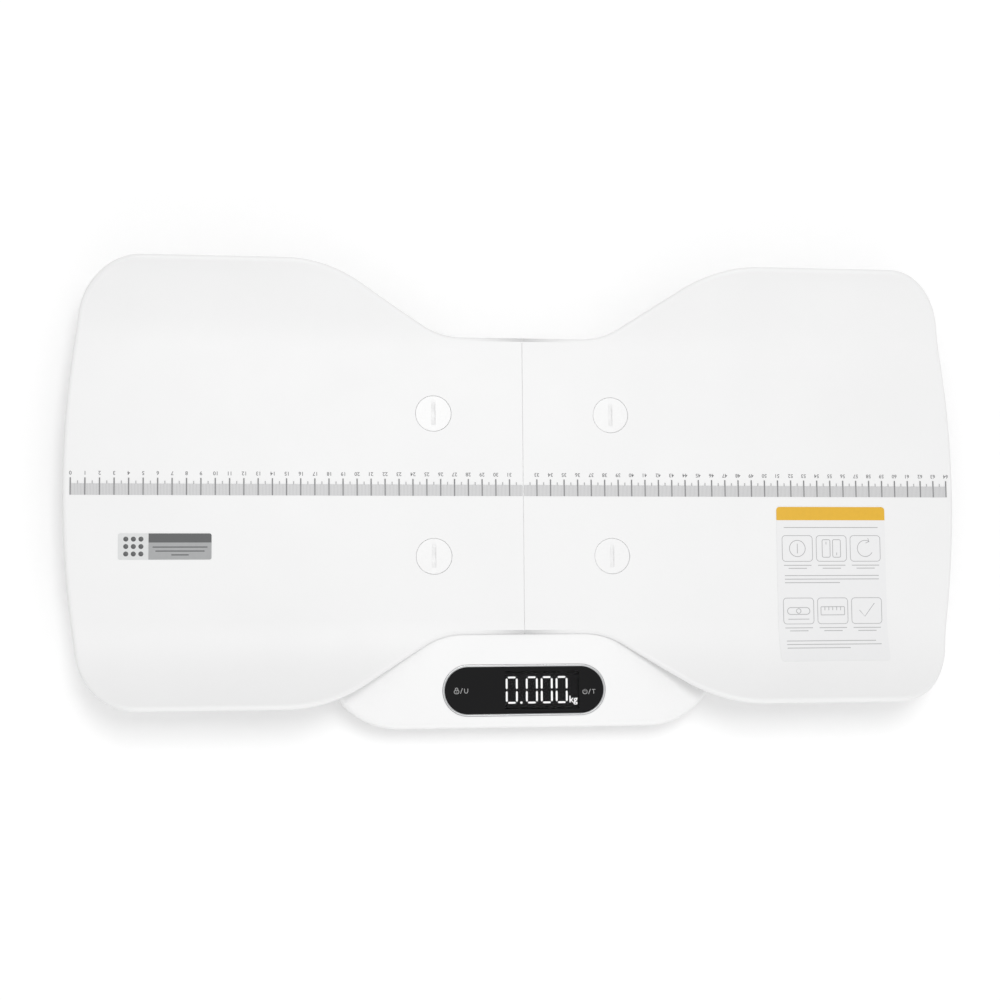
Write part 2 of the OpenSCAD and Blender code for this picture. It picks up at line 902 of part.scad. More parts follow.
// Flat cable from the main board's plug forward and up to the display board
module display_ribbon() {
    ribbon_z = main_board_top + ribbon_plug[2];
    start = base_y + main_board_at[1] + ribbon_plug_y + ribbon_plug[1] / 2;
    stop = lens_y + display_board_size[1] / 2 - 4;
    color("gray") translate([-ribbon_width / 2, stop, ribbon_z]) {
        cube([ribbon_width, start - stop, ribbon_thick]);
        cube([ribbon_width, ribbon_thick, display_board_z - ribbon_z]);
    }
}

module battery_door() {
    width = box_inner_x - 2 * door_clear;
    front = open_front + door_clear;
    color("white") on_base() translate([battery_at[0], battery_at[1], 0]) {
        difference() {
            translate([-width / 2, front, base_z]) cube([width, barrel_y - front, door_thick]);
            translate([0, front + grip_inset, 0]) disc(base_z - cut, cut + grip_depth, grip_d);
        }
        translate([0, front + latch[1], 0]) slab(base_z + door_thick, barrel_r, latch);
        for (y = [FRONT, BACK]) translate([0, y * door_rib_at, 0])
            slab(base_z + door_thick, ledge_over_barrel - gap - base_z - door_thick, [width - 6, door_rib]);
        translate([0, barrel_y, barrel_z]) rotate([0, 90, 0]) {
            cylinder(r = barrel_r, h = width, center = true);
            cylinder(d = door_pin_d, h = box_inner_x + 2 * box_wall - 0.4, center = true);
        }
    }
}

// Moves to each battery's axis; the batteries lie along Y and point forward and back in turn
module at_batteries() {
    on_base() for (i = [0 : battery_count - 1])
        translate([battery_at[0] + (i - (battery_count - 1) / 2) * battery_pitch, battery_at[1], battery_z])
            rotate([0, 0, i % 2 == 0 ? 0 : 180]) rotate([-90, 0, 0]) children();
}

module batteries() {
    case_length = battery_length - battery_button;
    color("darkorange") at_batteries() {
        translate([0, 0, contact_face - battery_length]) cylinder(d = battery_d, h = case_length);
        translate([0, 0, contact_face - battery_button - cut])
            cylinder(d = button_d, h = battery_button + cut);
    }
}

module battery_springs() {
    color("silver") at_batteries() translate([0, 0, -contact_face]) difference() {
        cylinder(d = spring_d, h = 2 * contact_face - battery_length);
        translate([0, 0, -cut])
            cylinder(d = spring_d - 2 * spring_wall, h = 2 * contact_face - battery_length + 2 * cut);
    }
}

module battery_contacts() {
    color("silver") at_batteries() for (end = [-1, 1])
        slab(end > 0 ? contact_face : -contact_face - contact, contact, contact_size);
}

// Supply wires from the front of the battery box to the main board
module battery_wires() {
    start_y = battery_at[1] - box_end;
    stop_y = main_board_at[1] + supply_plug_y + supply_plug[1] / 2;
    color("black") on_base() for (x = [-1.5, 1.5])
        wire_route([[x, start_y, wire_z], [x, stop_y, wire_z]]);
}

tray_left();
tray_right();
ruler_strip_left();
ruler_strip_right();
care_label();
guide_label();
tray_screw_front_left();
tray_screw_front_right();
tray_screw_back_left();
tray_screw_back_right();
base_top_cover();
base_bottom_cover();
base_screws();
tray_inserts();
display_bezel();
display_lens();
lens_tape();
digit_block();
digit_segments();
display_board();
display_screws();
touch_spring_left();
touch_spring_right();
display_ribbon();
foot_front_left();
foot_front_right();
foot_back_left();
foot_back_right();
foot_pad_front_left();
foot_pad_front_right();
foot_pad_back_left();
foot_pad_back_right();
load_cell_front_left();
load_cell_front_right();
load_cell_back_left();
load_cell_back_right();
load_cell_clips();
load_cell_wires();
main_board();
board_parts();
board_screws();
battery_door();
batteries();
battery_contacts();
battery_springs();
battery_wires();
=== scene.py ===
"""Looks of a low baby weighing scale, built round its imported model.

Sizes are in millimetres and become metres where a mesh is made.
X runs along the tray, Y from the display to the back, Z up from the floor.
"""
import json
import math

import bmesh
import bpy
import numpy as np
from mathutils.geometry import delaunay_2d_cdt
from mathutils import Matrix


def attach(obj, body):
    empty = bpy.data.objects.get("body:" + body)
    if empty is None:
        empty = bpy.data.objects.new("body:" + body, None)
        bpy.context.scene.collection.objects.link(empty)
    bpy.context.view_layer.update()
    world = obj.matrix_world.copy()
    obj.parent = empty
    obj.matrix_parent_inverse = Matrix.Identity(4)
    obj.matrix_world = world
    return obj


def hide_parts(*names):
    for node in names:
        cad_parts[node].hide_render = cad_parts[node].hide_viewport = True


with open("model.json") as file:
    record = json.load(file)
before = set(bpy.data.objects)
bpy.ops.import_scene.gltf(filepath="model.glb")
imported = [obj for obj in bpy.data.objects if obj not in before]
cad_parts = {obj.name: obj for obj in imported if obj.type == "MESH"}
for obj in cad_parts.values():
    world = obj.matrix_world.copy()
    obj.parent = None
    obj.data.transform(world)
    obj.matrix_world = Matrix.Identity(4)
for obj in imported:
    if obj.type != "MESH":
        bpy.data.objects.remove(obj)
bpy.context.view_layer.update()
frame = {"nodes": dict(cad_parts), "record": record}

MM = 0.001
FULL_TURN = 2 * math.pi
QUARTER = math.pi / 2
UP = np.array([0.0, 0.0, 1.0])

# The tray, as in the construction
TRAY_Y = 8.0
TRAY_TOP = 35.0
WALL = 3.0
FLAT_HALF = 97.0
BEND_RADIUS = 82.0
WAIST_HALF = 107.5
WING_HALF = 158.5
WAIST_END = 59.0
WING_START = 141.0
TIP_X = 325.5
END_BULGE = 16.0
WAIST_BLEND, WING_BLEND, END_CORNER = 53.0, 106.0, 45.0
END_REACH = WING_HALF - END_CORNER
END_RADIUS = END_REACH * (END_REACH / 2 + END_CORNER) / END_BULGE
SEAM_SOFT = 0.35
SCREWS = [(x, y) for x in (-65.0, 65.0) for y in (-51.5, 51.5)]
SCREW_NAMES = ["front_left", "back_left", "front_right", "back_right"]
BORE_STEPS = 72

# The platform and its display
BASE_Y = -27.75
LENS_Y = -139.6
LENS_SIZE = (115.0, 33.4)
DIGIT_X = (-9.0, 5.6, 16.5, 27.4)
POINT_X = -2.1
CLEAR_MIDDLE = (12.9, LENS_Y)
CLEAR_HALF = (26.9, 13.6)

SHARP_ANGLE = 32.0
FILL_STEP = 14.0
CAPITAL = 0.73


# ---------------------------------------------------------------- shapes

def grid_faces(rows, columns, close_rows=False, close_columns=False):
    """Quads between the points of a grid that is stored row after row."""
    i = np.arange(rows if close_rows else rows - 1)
    j = np.arange(columns if close_columns else columns - 1)
    i, j = (a.ravel() for a in np.meshgrid(i, j, indexing="ij"))
    up, on = (i + 1) % rows, (j + 1) % columns
    return np.stack([i * columns + j, i * columns + on, up * columns + on, up * columns + j], -1).tolist()


def join(*shapes):
    """Several (points, faces) shapes as one."""
    starts = np.cumsum([0] + [len(points) for points, _ in shapes[:-1]]).tolist()
    points = np.concatenate([points for points, _ in shapes])
    return points, [[i + s for i in face] for (_, faces), s in zip(shapes, starts) for face in faces]


def shifted(shape, x=0.0, y=0.0, z=0.0):
    """A shape moved by x, y and z."""
    return shape[0] + np.array([x, y, z]), shape[1]


def flipped(shape):
    """A shape with its faces turned round."""
    return shape[0], [face[::-1] for face in shape[1]]


def lathe(profile, steps):
    """A profile of (radius, height) turned about the Z axis: x is r cos a and y is r sin a."""
    turn = np.linspace(0, FULL_TURN, steps, endpoint=False)
    r, z = np.array(profile, float).T[:, :, None]
    points = np.stack([r * np.cos(turn), r * np.sin(turn), z + 0 * turn], -1).reshape(-1, 3)
    return points, grid_faces(len(profile), steps, close_columns=True)


def rounded_loop(size, radius, steps=12):
    """Plan outline of a rectangle with round corners: a quarter circle about each corner's centre."""
    radius = min(radius, size[0] / 2, size[1] / 2)
    reach = np.array(size) / 2 - radius
    corner = np.array([[1, 1], [-1, 1], [-1, -1], [1, -1]]) * reach
    turn = np.linspace(0, QUARTER, steps) + QUARTER * np.arange(4)[:, None]
    return (corner[:, None] + radius * np.stack([np.cos(turn), np.sin(turn)], -1)).reshape(-1, 2)


def end_caps(points, count):
    """The two faces that close a skin whose first and last rows have count points."""
    return [list(range(count))[::-1], [len(points) - count + i for i in range(count)]]


def stacked(loops, heights, closed=False):
    """A skin over plan loops at their heights, lowest first. Its ends are capped unless it is closed."""
    count = len(loops[0])
    points = np.concatenate([np.column_stack([loop, np.full(count, h)]) for loop, h in zip(loops, heights)])
    faces = grid_faces(len(loops), count, close_rows=closed, close_columns=True)
    if not closed:
        faces += end_caps(points, count)
    return points, faces


def tablet(size, radius, low, high, edge=0.2, steps=12):
    """A plate with round corners, its top and bottom edges eased by quarter circles of radius edge."""
    turn = np.linspace(0, QUARTER, 4)
    inset = np.concatenate([edge * (1 - np.sin(turn)), edge * (1 - np.cos(turn))])
    height = np.concatenate([low + edge * (1 - np.cos(turn)), high - edge * (1 - np.sin(turn))])
    loops = [rounded_loop((size[0] - 2 * d, size[1] - 2 * d), max(radius - d, 0.01), steps) for d in inset]
    return stacked(loops, height)


def prism(outline, low, high):
    """An upright prism on a plan outline."""
    return stacked([np.array(outline, float)] * 2, [low, high])


def stroke(path, width, low, high, closed=False):
    """A flat band of constant width along a plan path: its sides lie half a width off the path's normals."""
    path = np.array(path, float)
    if closed:
        ahead = np.roll(path, -1, 0) - np.roll(path, 1, 0)
    else:
        ahead = np.gradient(path, axis=0)
    ahead /= np.linalg.norm(ahead, axis=1)[:, None]
    side = np.column_stack([-ahead[:, 1], ahead[:, 0]]) * width / 2
    rows = [(path + side, low), (path - side, low), (path - side, high), (path + side, high)]
    points = np.stack([np.column_stack([p, np.full(len(p), z)]) for p, z in rows], 1).reshape(-1, 3)
    faces = grid_faces(len(path), 4, close_rows=closed, close_columns=True)
    if not closed:
        faces += end_caps(points, 4)
    return points, faces


def arc(centre, radius, start, stop, steps=24):
    """Plan points on an arc, its angles in degrees."""
    turn = np.radians(np.linspace(start, stop, steps))
    return np.array(centre) + radius * np.column_stack([np.cos(turn), np.sin(turn)])


def line(start, stop, steps=2):
    """Evenly spaced plan points from start to stop."""
    share = np.linspace(0, 1, steps)[:, None]
    return np.array(start) * (1 - share) + np.array(stop) * share


def letters(text, height, low, high, weight=0.0):
    """Solid characters of a plain typeface, their capital height given, centred on the origin."""
    curve = bpy.data.curves.new("letters", "FONT")
    curve.body, curve.size, curve.extrude, curve.offset = text, 1.0, 0.05, weight
    curve.resolution_u = 3
    holder = bpy.data.objects.new("letters", curve)
    bpy.context.scene.collection.objects.link(holder)
    bpy.context.view_layer.update()
    mesh = bpy.data.meshes.new_from_object(holder)
    points = np.zeros(len(mesh.vertices) * 3)
    mesh.vertices.foreach_get("co", points)
    points = points.reshape(-1, 3)
    faces = [list(p.vertices) for p in mesh.polygons]
    bpy.data.objects.remove(holder)
    bpy.data.curves.remove(curve)
    bpy.data.meshes.remove(mesh)
    middle = (points.min(0) + points.max(0)) / 2
    scale = height / CAPITAL
    flat = (points[:, :2] - middle[:2]) * scale
    upper = points[:, 2] > middle[2]
    return np.column_stack([flat, np.where(upper, high, low)]), faces


# ---------------------------------------------------------------- the tray's surface

def tray_height(y):
    """Height of the trough's upper side: flat in the middle, then an arc that rises towards both edges."""
    past = np.maximum(np.abs(y - TRAY_Y) - FLAT_HALF, 0)
    return TRAY_TOP + BEND_RADIUS - np.sqrt(BEND_RADIUS ** 2 - past ** 2)


def tray_normal(y):
    """Normal of the trough's upper side, which leans back towards the middle by the arc's own angle."""
    past = np.maximum(np.abs(y - TRAY_Y) - FLAT_HALF, 0) / BEND_RADIUS
    lean = -np.sign(y - TRAY_Y) * past
    return np.column_stack([np.zeros_like(y), lean, np.sqrt(1 - lean ** 2)])


def draped(shape):
    """A flat shape laid on the tray: points keep their X and Y, and heights are measured off the surface."""
    points, faces = shape
    foot = np.column_stack([points[:, :2], tray_height(points[:, 1])])
    return foot + tray_normal(points[:, 1]) * points[:, 2:], faces


BEND_ROWS = FLAT_HALF + BEND_RADIUS * np.sin(np.radians(np.arange(0, 50, 2.5)))
TRAY_ROWS = TRAY_Y + np.concatenate([-BEND_ROWS[::-1], BEND_ROWS])


def inside(points, loop):
    """Which plan points lie in a loop: a ray to the right crosses its sides an odd number of times."""
    a, b = loop, np.roll(loop, -1, 0)
    x, y = points[:, 0][:, None], points[:, 1][:, None]
    spans = (a[:, 1] > y) != (b[:, 1] > y)
    rise = np.where(b[:, 1] == a[:, 1], 1, b[:, 1] - a[:, 1])
    return (spans & (x < a[:, 0] + (y - a[:, 1]) * (b[:, 0] - a[:, 0]) / rise)).sum(1) % 2 == 1


def with_rows(loop, rows, *values):
    """A closed loop with a point added wherever a row of constant Y crosses it; values are carried along."""
    data = np.column_stack([loop, *values])
    ahead = np.roll(data, -1, 0)
    low = np.minimum(data[:, 1], ahead[:, 1])[:, None]
    high = np.maximum(data[:, 1], ahead[:, 1])[:, None]
    side, row = np.nonzero((rows > low + 1e-4) & (rows < high - 1e-4))
    share = (rows[row] - data[side, 1]) / (ahead[side, 1] - data[side, 1])
    extra = data[side] + (ahead[side] - data[side]) * share[:, None]
    extra[:, 1] = rows[row]
    order = np.argsort(np.concatenate([np.arange(len(data)), side + share]), kind="stable")
    return np.concatenate([data, extra])[order]


def filled(loop, holes=(), rows=()):
    """Triangles over a plan outline with holes. Edges run along each row, so no triangle spans a bend."""
    loops = [loop, *holes]
    points = [np.array(part)[:, :2] for part in loops]
    starts = np.cumsum([0] + [len(part) for part in points])
    edges = [(int(start + i), int(start + (i + 1) % len(part)))
             for start, part in zip(starts, points) for i in range(len(part))]
    for row in rows:
        on_row = np.nonzero(np.abs(loop[:, 1] - row) < 1e-6)[0]
        ends = on_row[np.argsort(loop[on_row, 0])]
        for left, right in zip(ends[:-1:2], ends[1::2]):
            count = max(int((loop[right, 0] - loop[left, 0]) / FILL_STEP), 1)
            between = line(loop[left, :2], loop[right, :2], count + 1)[1:-1]
            first = sum(len(part) for part in points)
            points.append(between)
            chain = [int(left), *range(first, first + len(between)), int(right)]
            edges += list(zip(chain[:-1], chain[1:]))
    flat = np.concatenate(points)
    made, _, faces, _, _, _ = delaunay_2d_cdt([tuple(p) for p in flat], edges, [], 0, 1e-7)
    made = np.array([tuple(p) for p in made])
    faces = np.array([list(f) for f in faces])
    middle = made[faces].mean(1)
    keep = inside(middle, loops[0][:, :2])
    for hole in holes:
        keep &= ~inside(middle, np.array(hole)[:, :2])
    faces = faces[keep]
    a, b, c = made[faces[:, 0]], made[faces[:, 1]], made[faces[:, 2]]
    area = (b[:, 0] - a[:, 0]) * (c[:, 1] - a[:, 1]) - (b[:, 1] - a[:, 1]) * (c[:, 0] - a[:, 0])
    faces = np.where((area < 0)[:, None], faces[:, ::-1], faces)
    return made, faces[np.abs(area) > 1e-9].tolist()


def film(loop, low, high, rows=()):
    """A thin sheet cut to a plan loop, with points along rows, so that it can follow the tray's bend."""
    rows = np.array([r for r in rows if loop[:, 1].min() + 0.5 < r < loop[:, 1].max() - 0.5])
    loop = with_rows(loop, rows) if len(rows) else loop
    flat, faces = filled(loop, rows=rows)
    top = np.column_stack([flat, np.full(len(flat), high)])
    bottom = np.column_stack([flat, np.full(len(flat), low)])
    count = len(loop)
    wall = np.concatenate([np.column_stack([loop, np.full(count, h)]) for h in (low, high)])
    return join((top, faces), flipped((bottom, faces)), (wall, grid_faces(2, count, close_columns=True)))


# ---------------------------------------------------------------- pieces

def make_piece(name, shape, finish, nodes=(), body="scale", aims=None, weighted=True):
    """Welds a shape's points, makes it an object, attaches it to its body's empty, and hides the model's
    nodes that it stands in for.

    aims are normals worked out with the shape. Without them, edges over SHARP_ANGLE stay sharp.
    """
    points, faces = shape
    mesh = bpy.data.meshes.new(name)
    mesh.from_pydata((points * MM).tolist(), [], faces)
    if aims is not None:
        mesh.attributes.new("aim", "FLOAT_VECTOR", "POINT").data.foreach_set("vector", aims.ravel())
    work = bmesh.new()
    work.from_mesh(mesh)
    bmesh.ops.remove_doubles(work, verts=work.verts, dist=1e-6)
    bmesh.ops.dissolve_degenerate(work, edges=work.edges, dist=1e-8)
    work.to_mesh(mesh)
    work.free()
    mesh.polygons.foreach_set("use_smooth", np.ones(len(mesh.polygons), bool))
    if aims is not None:
        kept = np.zeros(len(mesh.vertices) * 3)
        mesh.attributes["aim"].data.foreach_get("vector", kept)
        mesh.attributes.remove(mesh.attributes["aim"])
        mesh.normals_split_custom_set_from_vertices(kept.reshape(-1, 3).tolist())
    else:
        mesh.set_sharp_from_angle(angle=math.radians(SHARP_ANGLE))
    piece = bpy.data.objects.new(name, mesh)
    bpy.context.scene.collection.objects.link(piece)
    mesh.materials.append(finish)
    if aims is None and weighted:
        shade = piece.modifiers.new("even_shading", "WEIGHTED_NORMAL")
        shade.keep_sharp = True
    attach(piece, body)
    if nodes:
        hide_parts(*nodes)
    return piece


# ---------------------------------------------------------------- finishes

class Wire:
    """A socket with arithmetic: an expression on wires and numbers adds its Math nodes."""

    def __init__(self, finish, socket):
        self.finish, self.socket = finish, socket

    def math(self, operation, *values):
        return self.finish.math(operation, *values)

    def __add__(self, other):
        return self.math("ADD", self, other)

    def __sub__(self, other):
        return self.math("SUBTRACT", self, other)

    def __rsub__(self, other):
        return self.math("SUBTRACT", other, self)

    def __mul__(self, other):
        return self.math("MULTIPLY", self, other)

    def __lt__(self, other):
        return self.math("LESS_THAN", self, other)

    def __gt__(self, other):
        return self.math("GREATER_THAN", self, other)

    def __mod__(self, other):
        return self.math("FLOORED_MODULO", self, other)

    def __rmod__(self, other):
        return self.math("FLOORED_MODULO", other, self)

    def __abs__(self):
        return self.math("ABSOLUTE", self)

    __radd__, __rmul__ = __add__, __mul__


class Finish:
    """The node tree of one material, or of the world."""

    def __init__(self, name, kind="materials"):
        self.owner = getattr(bpy.data, kind).new(name)
        self.owner.use_nodes = True
        self.tree = self.owner.node_tree
        self.tree.nodes.clear()

    def add(self, kind, settings=None, inputs=None, out=0):
        """Makes a node: its settings first, then the values or wires of its sockets."""
        node = self.tree.nodes.new("ShaderNode" + kind)
        for key, value in (settings or {}).items():
            setattr(node, key, value)
        for key, value in (inputs or {}).items():
            if isinstance(value, Wire):
                self.tree.links.new(value.socket, node.inputs[key])
            else:
                node.inputs[key].default_value = value
        return Wire(self, node.outputs[out])

    def math(self, operation, *values):
        """One Math node."""
        return self.add("Math", {"operation": operation}, dict(enumerate(values)))

    def place(self, stretch=(1, 1, 1)):
        """The point on the piece, in metres, with each axis stretched."""
        where = self.add("TexCoord", out="Object")
        if stretch == (1, 1, 1):
            return where
        return self.add("Mapping", {}, {"Vector": where, "Scale": stretch})

    def spot(self):
        """The point's X and Y, in metres."""
        where = self.place()
        return [self.add("SeparateXYZ", {}, {0: where}, out=i) for i in (0, 1)]

    def limit(self, value, low=0.0, high=1.0):
        """A value kept between two numbers."""
        return self.math("MINIMUM", self.math("MAXIMUM", value, low), high)

    def noise(self, size, detail=3.0, stretch=(1, 1, 1)):
        """Cloudy variation from 0 to 1, with blobs about size millimetres across."""
        where = self.place(stretch)
        return self.add("TexNoise", {}, {"Vector": where, "Scale": 1 / (size * MM), "Detail": detail})

    def blend(self, share, first, second):
        """A colour between two, by share."""
        inputs = {0: share, 6: (*first, 1) if isinstance(first, tuple) else first,
                  7: (*second, 1) if isinstance(second, tuple) else second}
        return self.add("Mix", {"data_type": "RGBA"}, inputs, out=2)

    def bump(self, height, depth):
        """Relief from a height of 0 to 1, depth millimetres deep."""
        return self.add("Bump", {}, {"Height": height, "Distance": depth * MM, "Strength": 1.0})

    def surface(self, colour, roughness, relief=None, **steady):
        """The finished surface. steady holds the sockets whose value is the same all over."""
        inputs = {"Base Color": colour, "Roughness": roughness}
        if relief is not None:
            inputs["Normal"] = relief
        inputs.update({key.replace("_", " "): value for key, value in steady.items()})
        return self.end(self.add("BsdfPrincipled", {}, inputs))

    def end(self, shader, kind="OutputMaterial"):
        """Sends a shader to the output."""
        output = self.tree.nodes.new("ShaderNode" + kind)
        self.tree.links.new(shader.socket, output.inputs["Surface"])
        return self.owner


def shade_of(colour, share):
    """A colour made darker or lighter by a share."""
    return tuple(min(c * share, 1.0) for c in colour)


def moulded(name, colour, roughness=0.46, grain=0.02, cloud=0.02, scuffs=0.08, **steady):
    """Moulded plastic: a slight cloudiness in the colour, a fine spark-eroded grain, and uneven sheen."""
    f = Finish(name)
    tone = f.blend(f.noise(60), shade_of(colour, 1 - cloud), shade_of(colour, 1 + cloud))
    sheen = f.noise(25, 4) * scuffs + (roughness - scuffs / 2)
    relief = f.bump(f.noise(0.9, 2), grain)
    return f.surface(tone, sheen, relief, **steady)


def metal(name, colour, roughness=0.3, brushed=(1, 30, 30), depth=0.01, tarnish=0.85):
    """Metal with fine drawn lines along one axis and faint stains."""
    f = Finish(name)
    tone = f.blend(f.noise(12), shade_of(colour, tarnish), colour)
    lines = f.noise(6, 3, brushed)
    sheen = lines * 0.16 + (roughness - 0.08)
    return f.surface(tone, sheen, f.bump(lines, depth), Metallic=1.0)


def printed(name, colour, roughness=0.45, fade=0.05):
    """Ink or printed film, a little uneven where the screen left less ink."""
    f = Finish(name)
    tone = f.blend(f.noise(3, 4), shade_of(colour, 1 - fade), shade_of(colour, 1 + fade))
    return f.surface(tone, f.noise(10) * 0.1 + (roughness - 0.05), f.bump(f.noise(0.6), 0.004))


def lit(name, colour, strength):
    """A diffuser lit from behind, a touch dimmer in places."""
    f = Finish(name)
    glow = f.blend(f.noise(4), shade_of(colour, 0.9), colour)
    return f.surface((0.6, 0.6, 0.6, 1), 0.5, None, Emission_Color=glow, Emission_Strength=strength)


def rubber(name, colour):
    """Soft rubber: dull, with a powdery bloom and a fine grain."""
    f = Finish(name)
    tone = f.blend(f.noise(5, 4), colour, shade_of(colour, 1.5))
    return f.surface(tone, f.noise(3) * 0.15 + 0.7, f.bump(f.noise(0.5), 0.02))


def solder_mask(name, colour, copper):
    """Circuit board: lacquer over copper tracks that show through as paler lines."""
    f = Finish(name)
    x, y = f.spot()
    weave = f.noise(9, 0, (1, 1, 0)) * 0.004
    track = ((x + weave) % 0.0025 < 0.0008) * (f.noise(14, 0) > 0.5)
    cross = ((y + weave) % 0.0032 < 0.0007) * (f.noise(11, 0) < 0.45)
    share = track + cross
    return f.surface(f.blend(share, colour, copper), 0.3, f.bump(share, 0.03))


def ruler_print(name, paper, ink):
    """Grey film with a thin line at every millimetre."""
    f = Finish(name)
    x, _ = f.spot()
    lines = (x + 0.2 * MM) % MM < 0.4 * MM
    worn = f.blend(f.noise(30, 3), shade_of(paper, 0.97), shade_of(paper, 1.03))
    return f.surface(f.blend(lines, worn, ink), f.noise(12) * 0.08 + 0.4, f.bump(lines, 0.004))


def smoked_window(name):
    """Black-backed acrylic, glossy, and see-through only in the panel in front of the digits."""
    f = Finish(name)
    across, along = (abs(value - middle * MM) < half * MM
                     for value, middle, half in zip(f.spot(), CLEAR_MIDDLE, CLEAR_HALF))
    clear = across * along
    tone = f.blend(f.noise(40), (0.0045, 0.0045, 0.005), (0.006, 0.006, 0.0065))
    return f.surface(tone, f.noise(30) * 0.03 + 0.05, None, Alpha=1 - clear * 0.8, Specular_IOR_Level=0.14)


WHITE = (0.86, 0.86, 0.86)
FINISHES = {
    "tray": moulded("white_tray_plastic", WHITE),
    "cover": moulded("white_cover_plastic", (0.9, 0.9, 0.9), 0.34),
    "under_cover": moulded("white_under_plastic", (0.84, 0.84, 0.84), 0.45, 0.05),
    "knob": moulded("white_screw_plastic", WHITE, 0.36),
    "ruler_film": ruler_print("ruler_film", (0.65, 0.65, 0.655), (0.49, 0.49, 0.495)),
    "grey_label": printed("label_paper", (0.69, 0.7, 0.7)),
    "guide_film": printed("guide_paper", (0.83, 0.83, 0.835), 0.3, 0.01),
    "bezel": metal("satin_silver", (0.46, 0.465, 0.47), 0.3, (1, 1, 40), 0.006, 0.9),
    "window": smoked_window("smoked_window"),
    "digits": lit("lit_digits", (1.0, 1.0, 1.0), 1.25),
    "block": moulded("black_digit_block", (0.013, 0.013, 0.014), 0.6, 0.004, 0.1, Specular_IOR_Level=0.15),
    "tape": rubber("foam_tape", (0.02, 0.02, 0.02)),
    "board": solder_mask("green_board", (0.02, 0.12, 0.05), (0.1, 0.26, 0.1)),
    "board_parts": moulded("plug_plastic", (0.72, 0.7, 0.62), 0.5, 0.02, 0.08),
    "ribbon": printed("flat_cable", (0.55, 0.55, 0.56), 0.5, 0.12),
    "wire": moulded("wire_sleeve", (0.5, 0.03, 0.03), 0.45, 0.01, 0.15),
    "steel": metal("zinc_plate", (0.62, 0.62, 0.6), 0.35),
    "spring": metal("nickel_wire", (0.7, 0.69, 0.66), 0.22, (20, 1, 20)),
    "contact": metal("nickel_strip", (0.72, 0.71, 0.68), 0.25, (20, 1, 20)),
    "brass": metal("turned_brass", (0.72, 0.52, 0.22), 0.28, (1, 1, 60)),
    "cell": metal("stamped_steel", (0.6, 0.61, 0.62), 0.34, (30, 1, 30)),
    "clip": moulded("clip_plastic", (0.8, 0.8, 0.8), 0.5, 0.03),
    "battery": printed("battery_jacket", (0.05, 0.06, 0.08), 0.3, 0.15),
    "foot": moulded("white_foot_plastic", (0.82, 0.82, 0.82), 0.45, 0.04),
    "pad": rubber("pad_rubber", (0.025, 0.025, 0.027)),
}
INK = printed("grey_ink", (0.2, 0.2, 0.205), 0.5)
PALE_INK = printed("pale_ink", (0.42, 0.42, 0.425), 0.5)
DARK_INK = printed("dark_ink", (0.085, 0.088, 0.09), 0.45)
MID_INK = printed("mid_ink", (0.36, 0.365, 0.37), 0.45)
YELLOW_INK = printed("yellow_ink", (0.75, 0.43, 0.02), 0.45)
LEGEND = printed("legend_print", (0.5, 0.5, 0.5))

node_slot = {part["node"]: part["material_slot"] for part in frame["record"]["subparts"]}
for node, cad in frame["nodes"].items():
    cad.data.materials.clear()
    cad.data.materials.append(FINISHES[node_slot[node]])


# ---------------------------------------------------------------- tray halves

def rounded_corner(a, b, c, radius, step=2.0):
    """Arc that rounds corner b between a and c. Its centre is on the corner's bisector."""
    a, b, c = (np.array(p, float) for p in (a, b, c))
    u, v = (a - b) / np.linalg.norm(a - b), (c - b) / np.linalg.norm(c - b)
    half = math.acos(u @ v) / 2
    centre = b + (u + v) / np.linalg.norm(u + v) * radius / math.sin(half)
    start = b + u * radius / math.tan(half) - centre
    turning = np.sign((b - a)[0] * (c - b)[1] - (b - a)[1] * (c - b)[0])
    sweep = (math.pi - 2 * half) * turning
    steps = max(int(abs(math.degrees(sweep)) / step), 4)
    turn = math.atan2(start[1], start[0]) + np.linspace(0, sweep, steps + 1)
    return centre + radius * np.column_stack([np.cos(turn), np.sin(turn)])


def half_outline():
    """Plan outline of the right half without its seam: from the front of the seam round to its back."""
    aim = TIP_X + END_REACH ** 2 / (2 * END_RADIUS)
    corners = [(0, -WAIST_HALF), (WAIST_END, -WAIST_HALF), (WING_START, -WING_HALF),
               (TIP_X - END_BULGE, -WING_HALF), (aim, 0)]
    quarter = [np.array([[0.0, -WAIST_HALF]])]
    for i, radius in zip((1, 2, 3), (WAIST_BLEND, WING_BLEND, END_CORNER)):
        quarter.append(rounded_corner(*corners[i - 1:i + 2], radius))
    tilt = math.degrees(math.asin(END_REACH / END_RADIUS))
    quarter.append(arc((TIP_X - END_RADIUS, 0), END_RADIUS, -tilt, 0, 15))
    front = np.concatenate(quarter)
    back = front[-2::-1] * [1, -1]
    return np.concatenate([front, back]) + [0, TRAY_Y]


def outward(path):
    """Unit normals on the right-hand side of an open path."""
    ahead = np.gradient(path, axis=0)
    ahead /= np.linalg.norm(ahead, axis=1)[:, None]
    return np.column_stack([ahead[:, 1], -ahead[:, 0]])


# The rim's section: how far out and how far down from the surface. A fine step starts the rolled lip.
LIP_STEP = [(0, 0), (0.08, 0.05), (0.16, 0.09)]
LIP_ARC = arc((0.25, 2.45), 2.35, -90, 0, 10)
LIP_FOOT = [(2.6, 2.7), (2.57, 2.92), (2.45, WALL), (0, WALL)]
RIM = np.concatenate([LIP_STEP, LIP_ARC, LIP_FOOT])
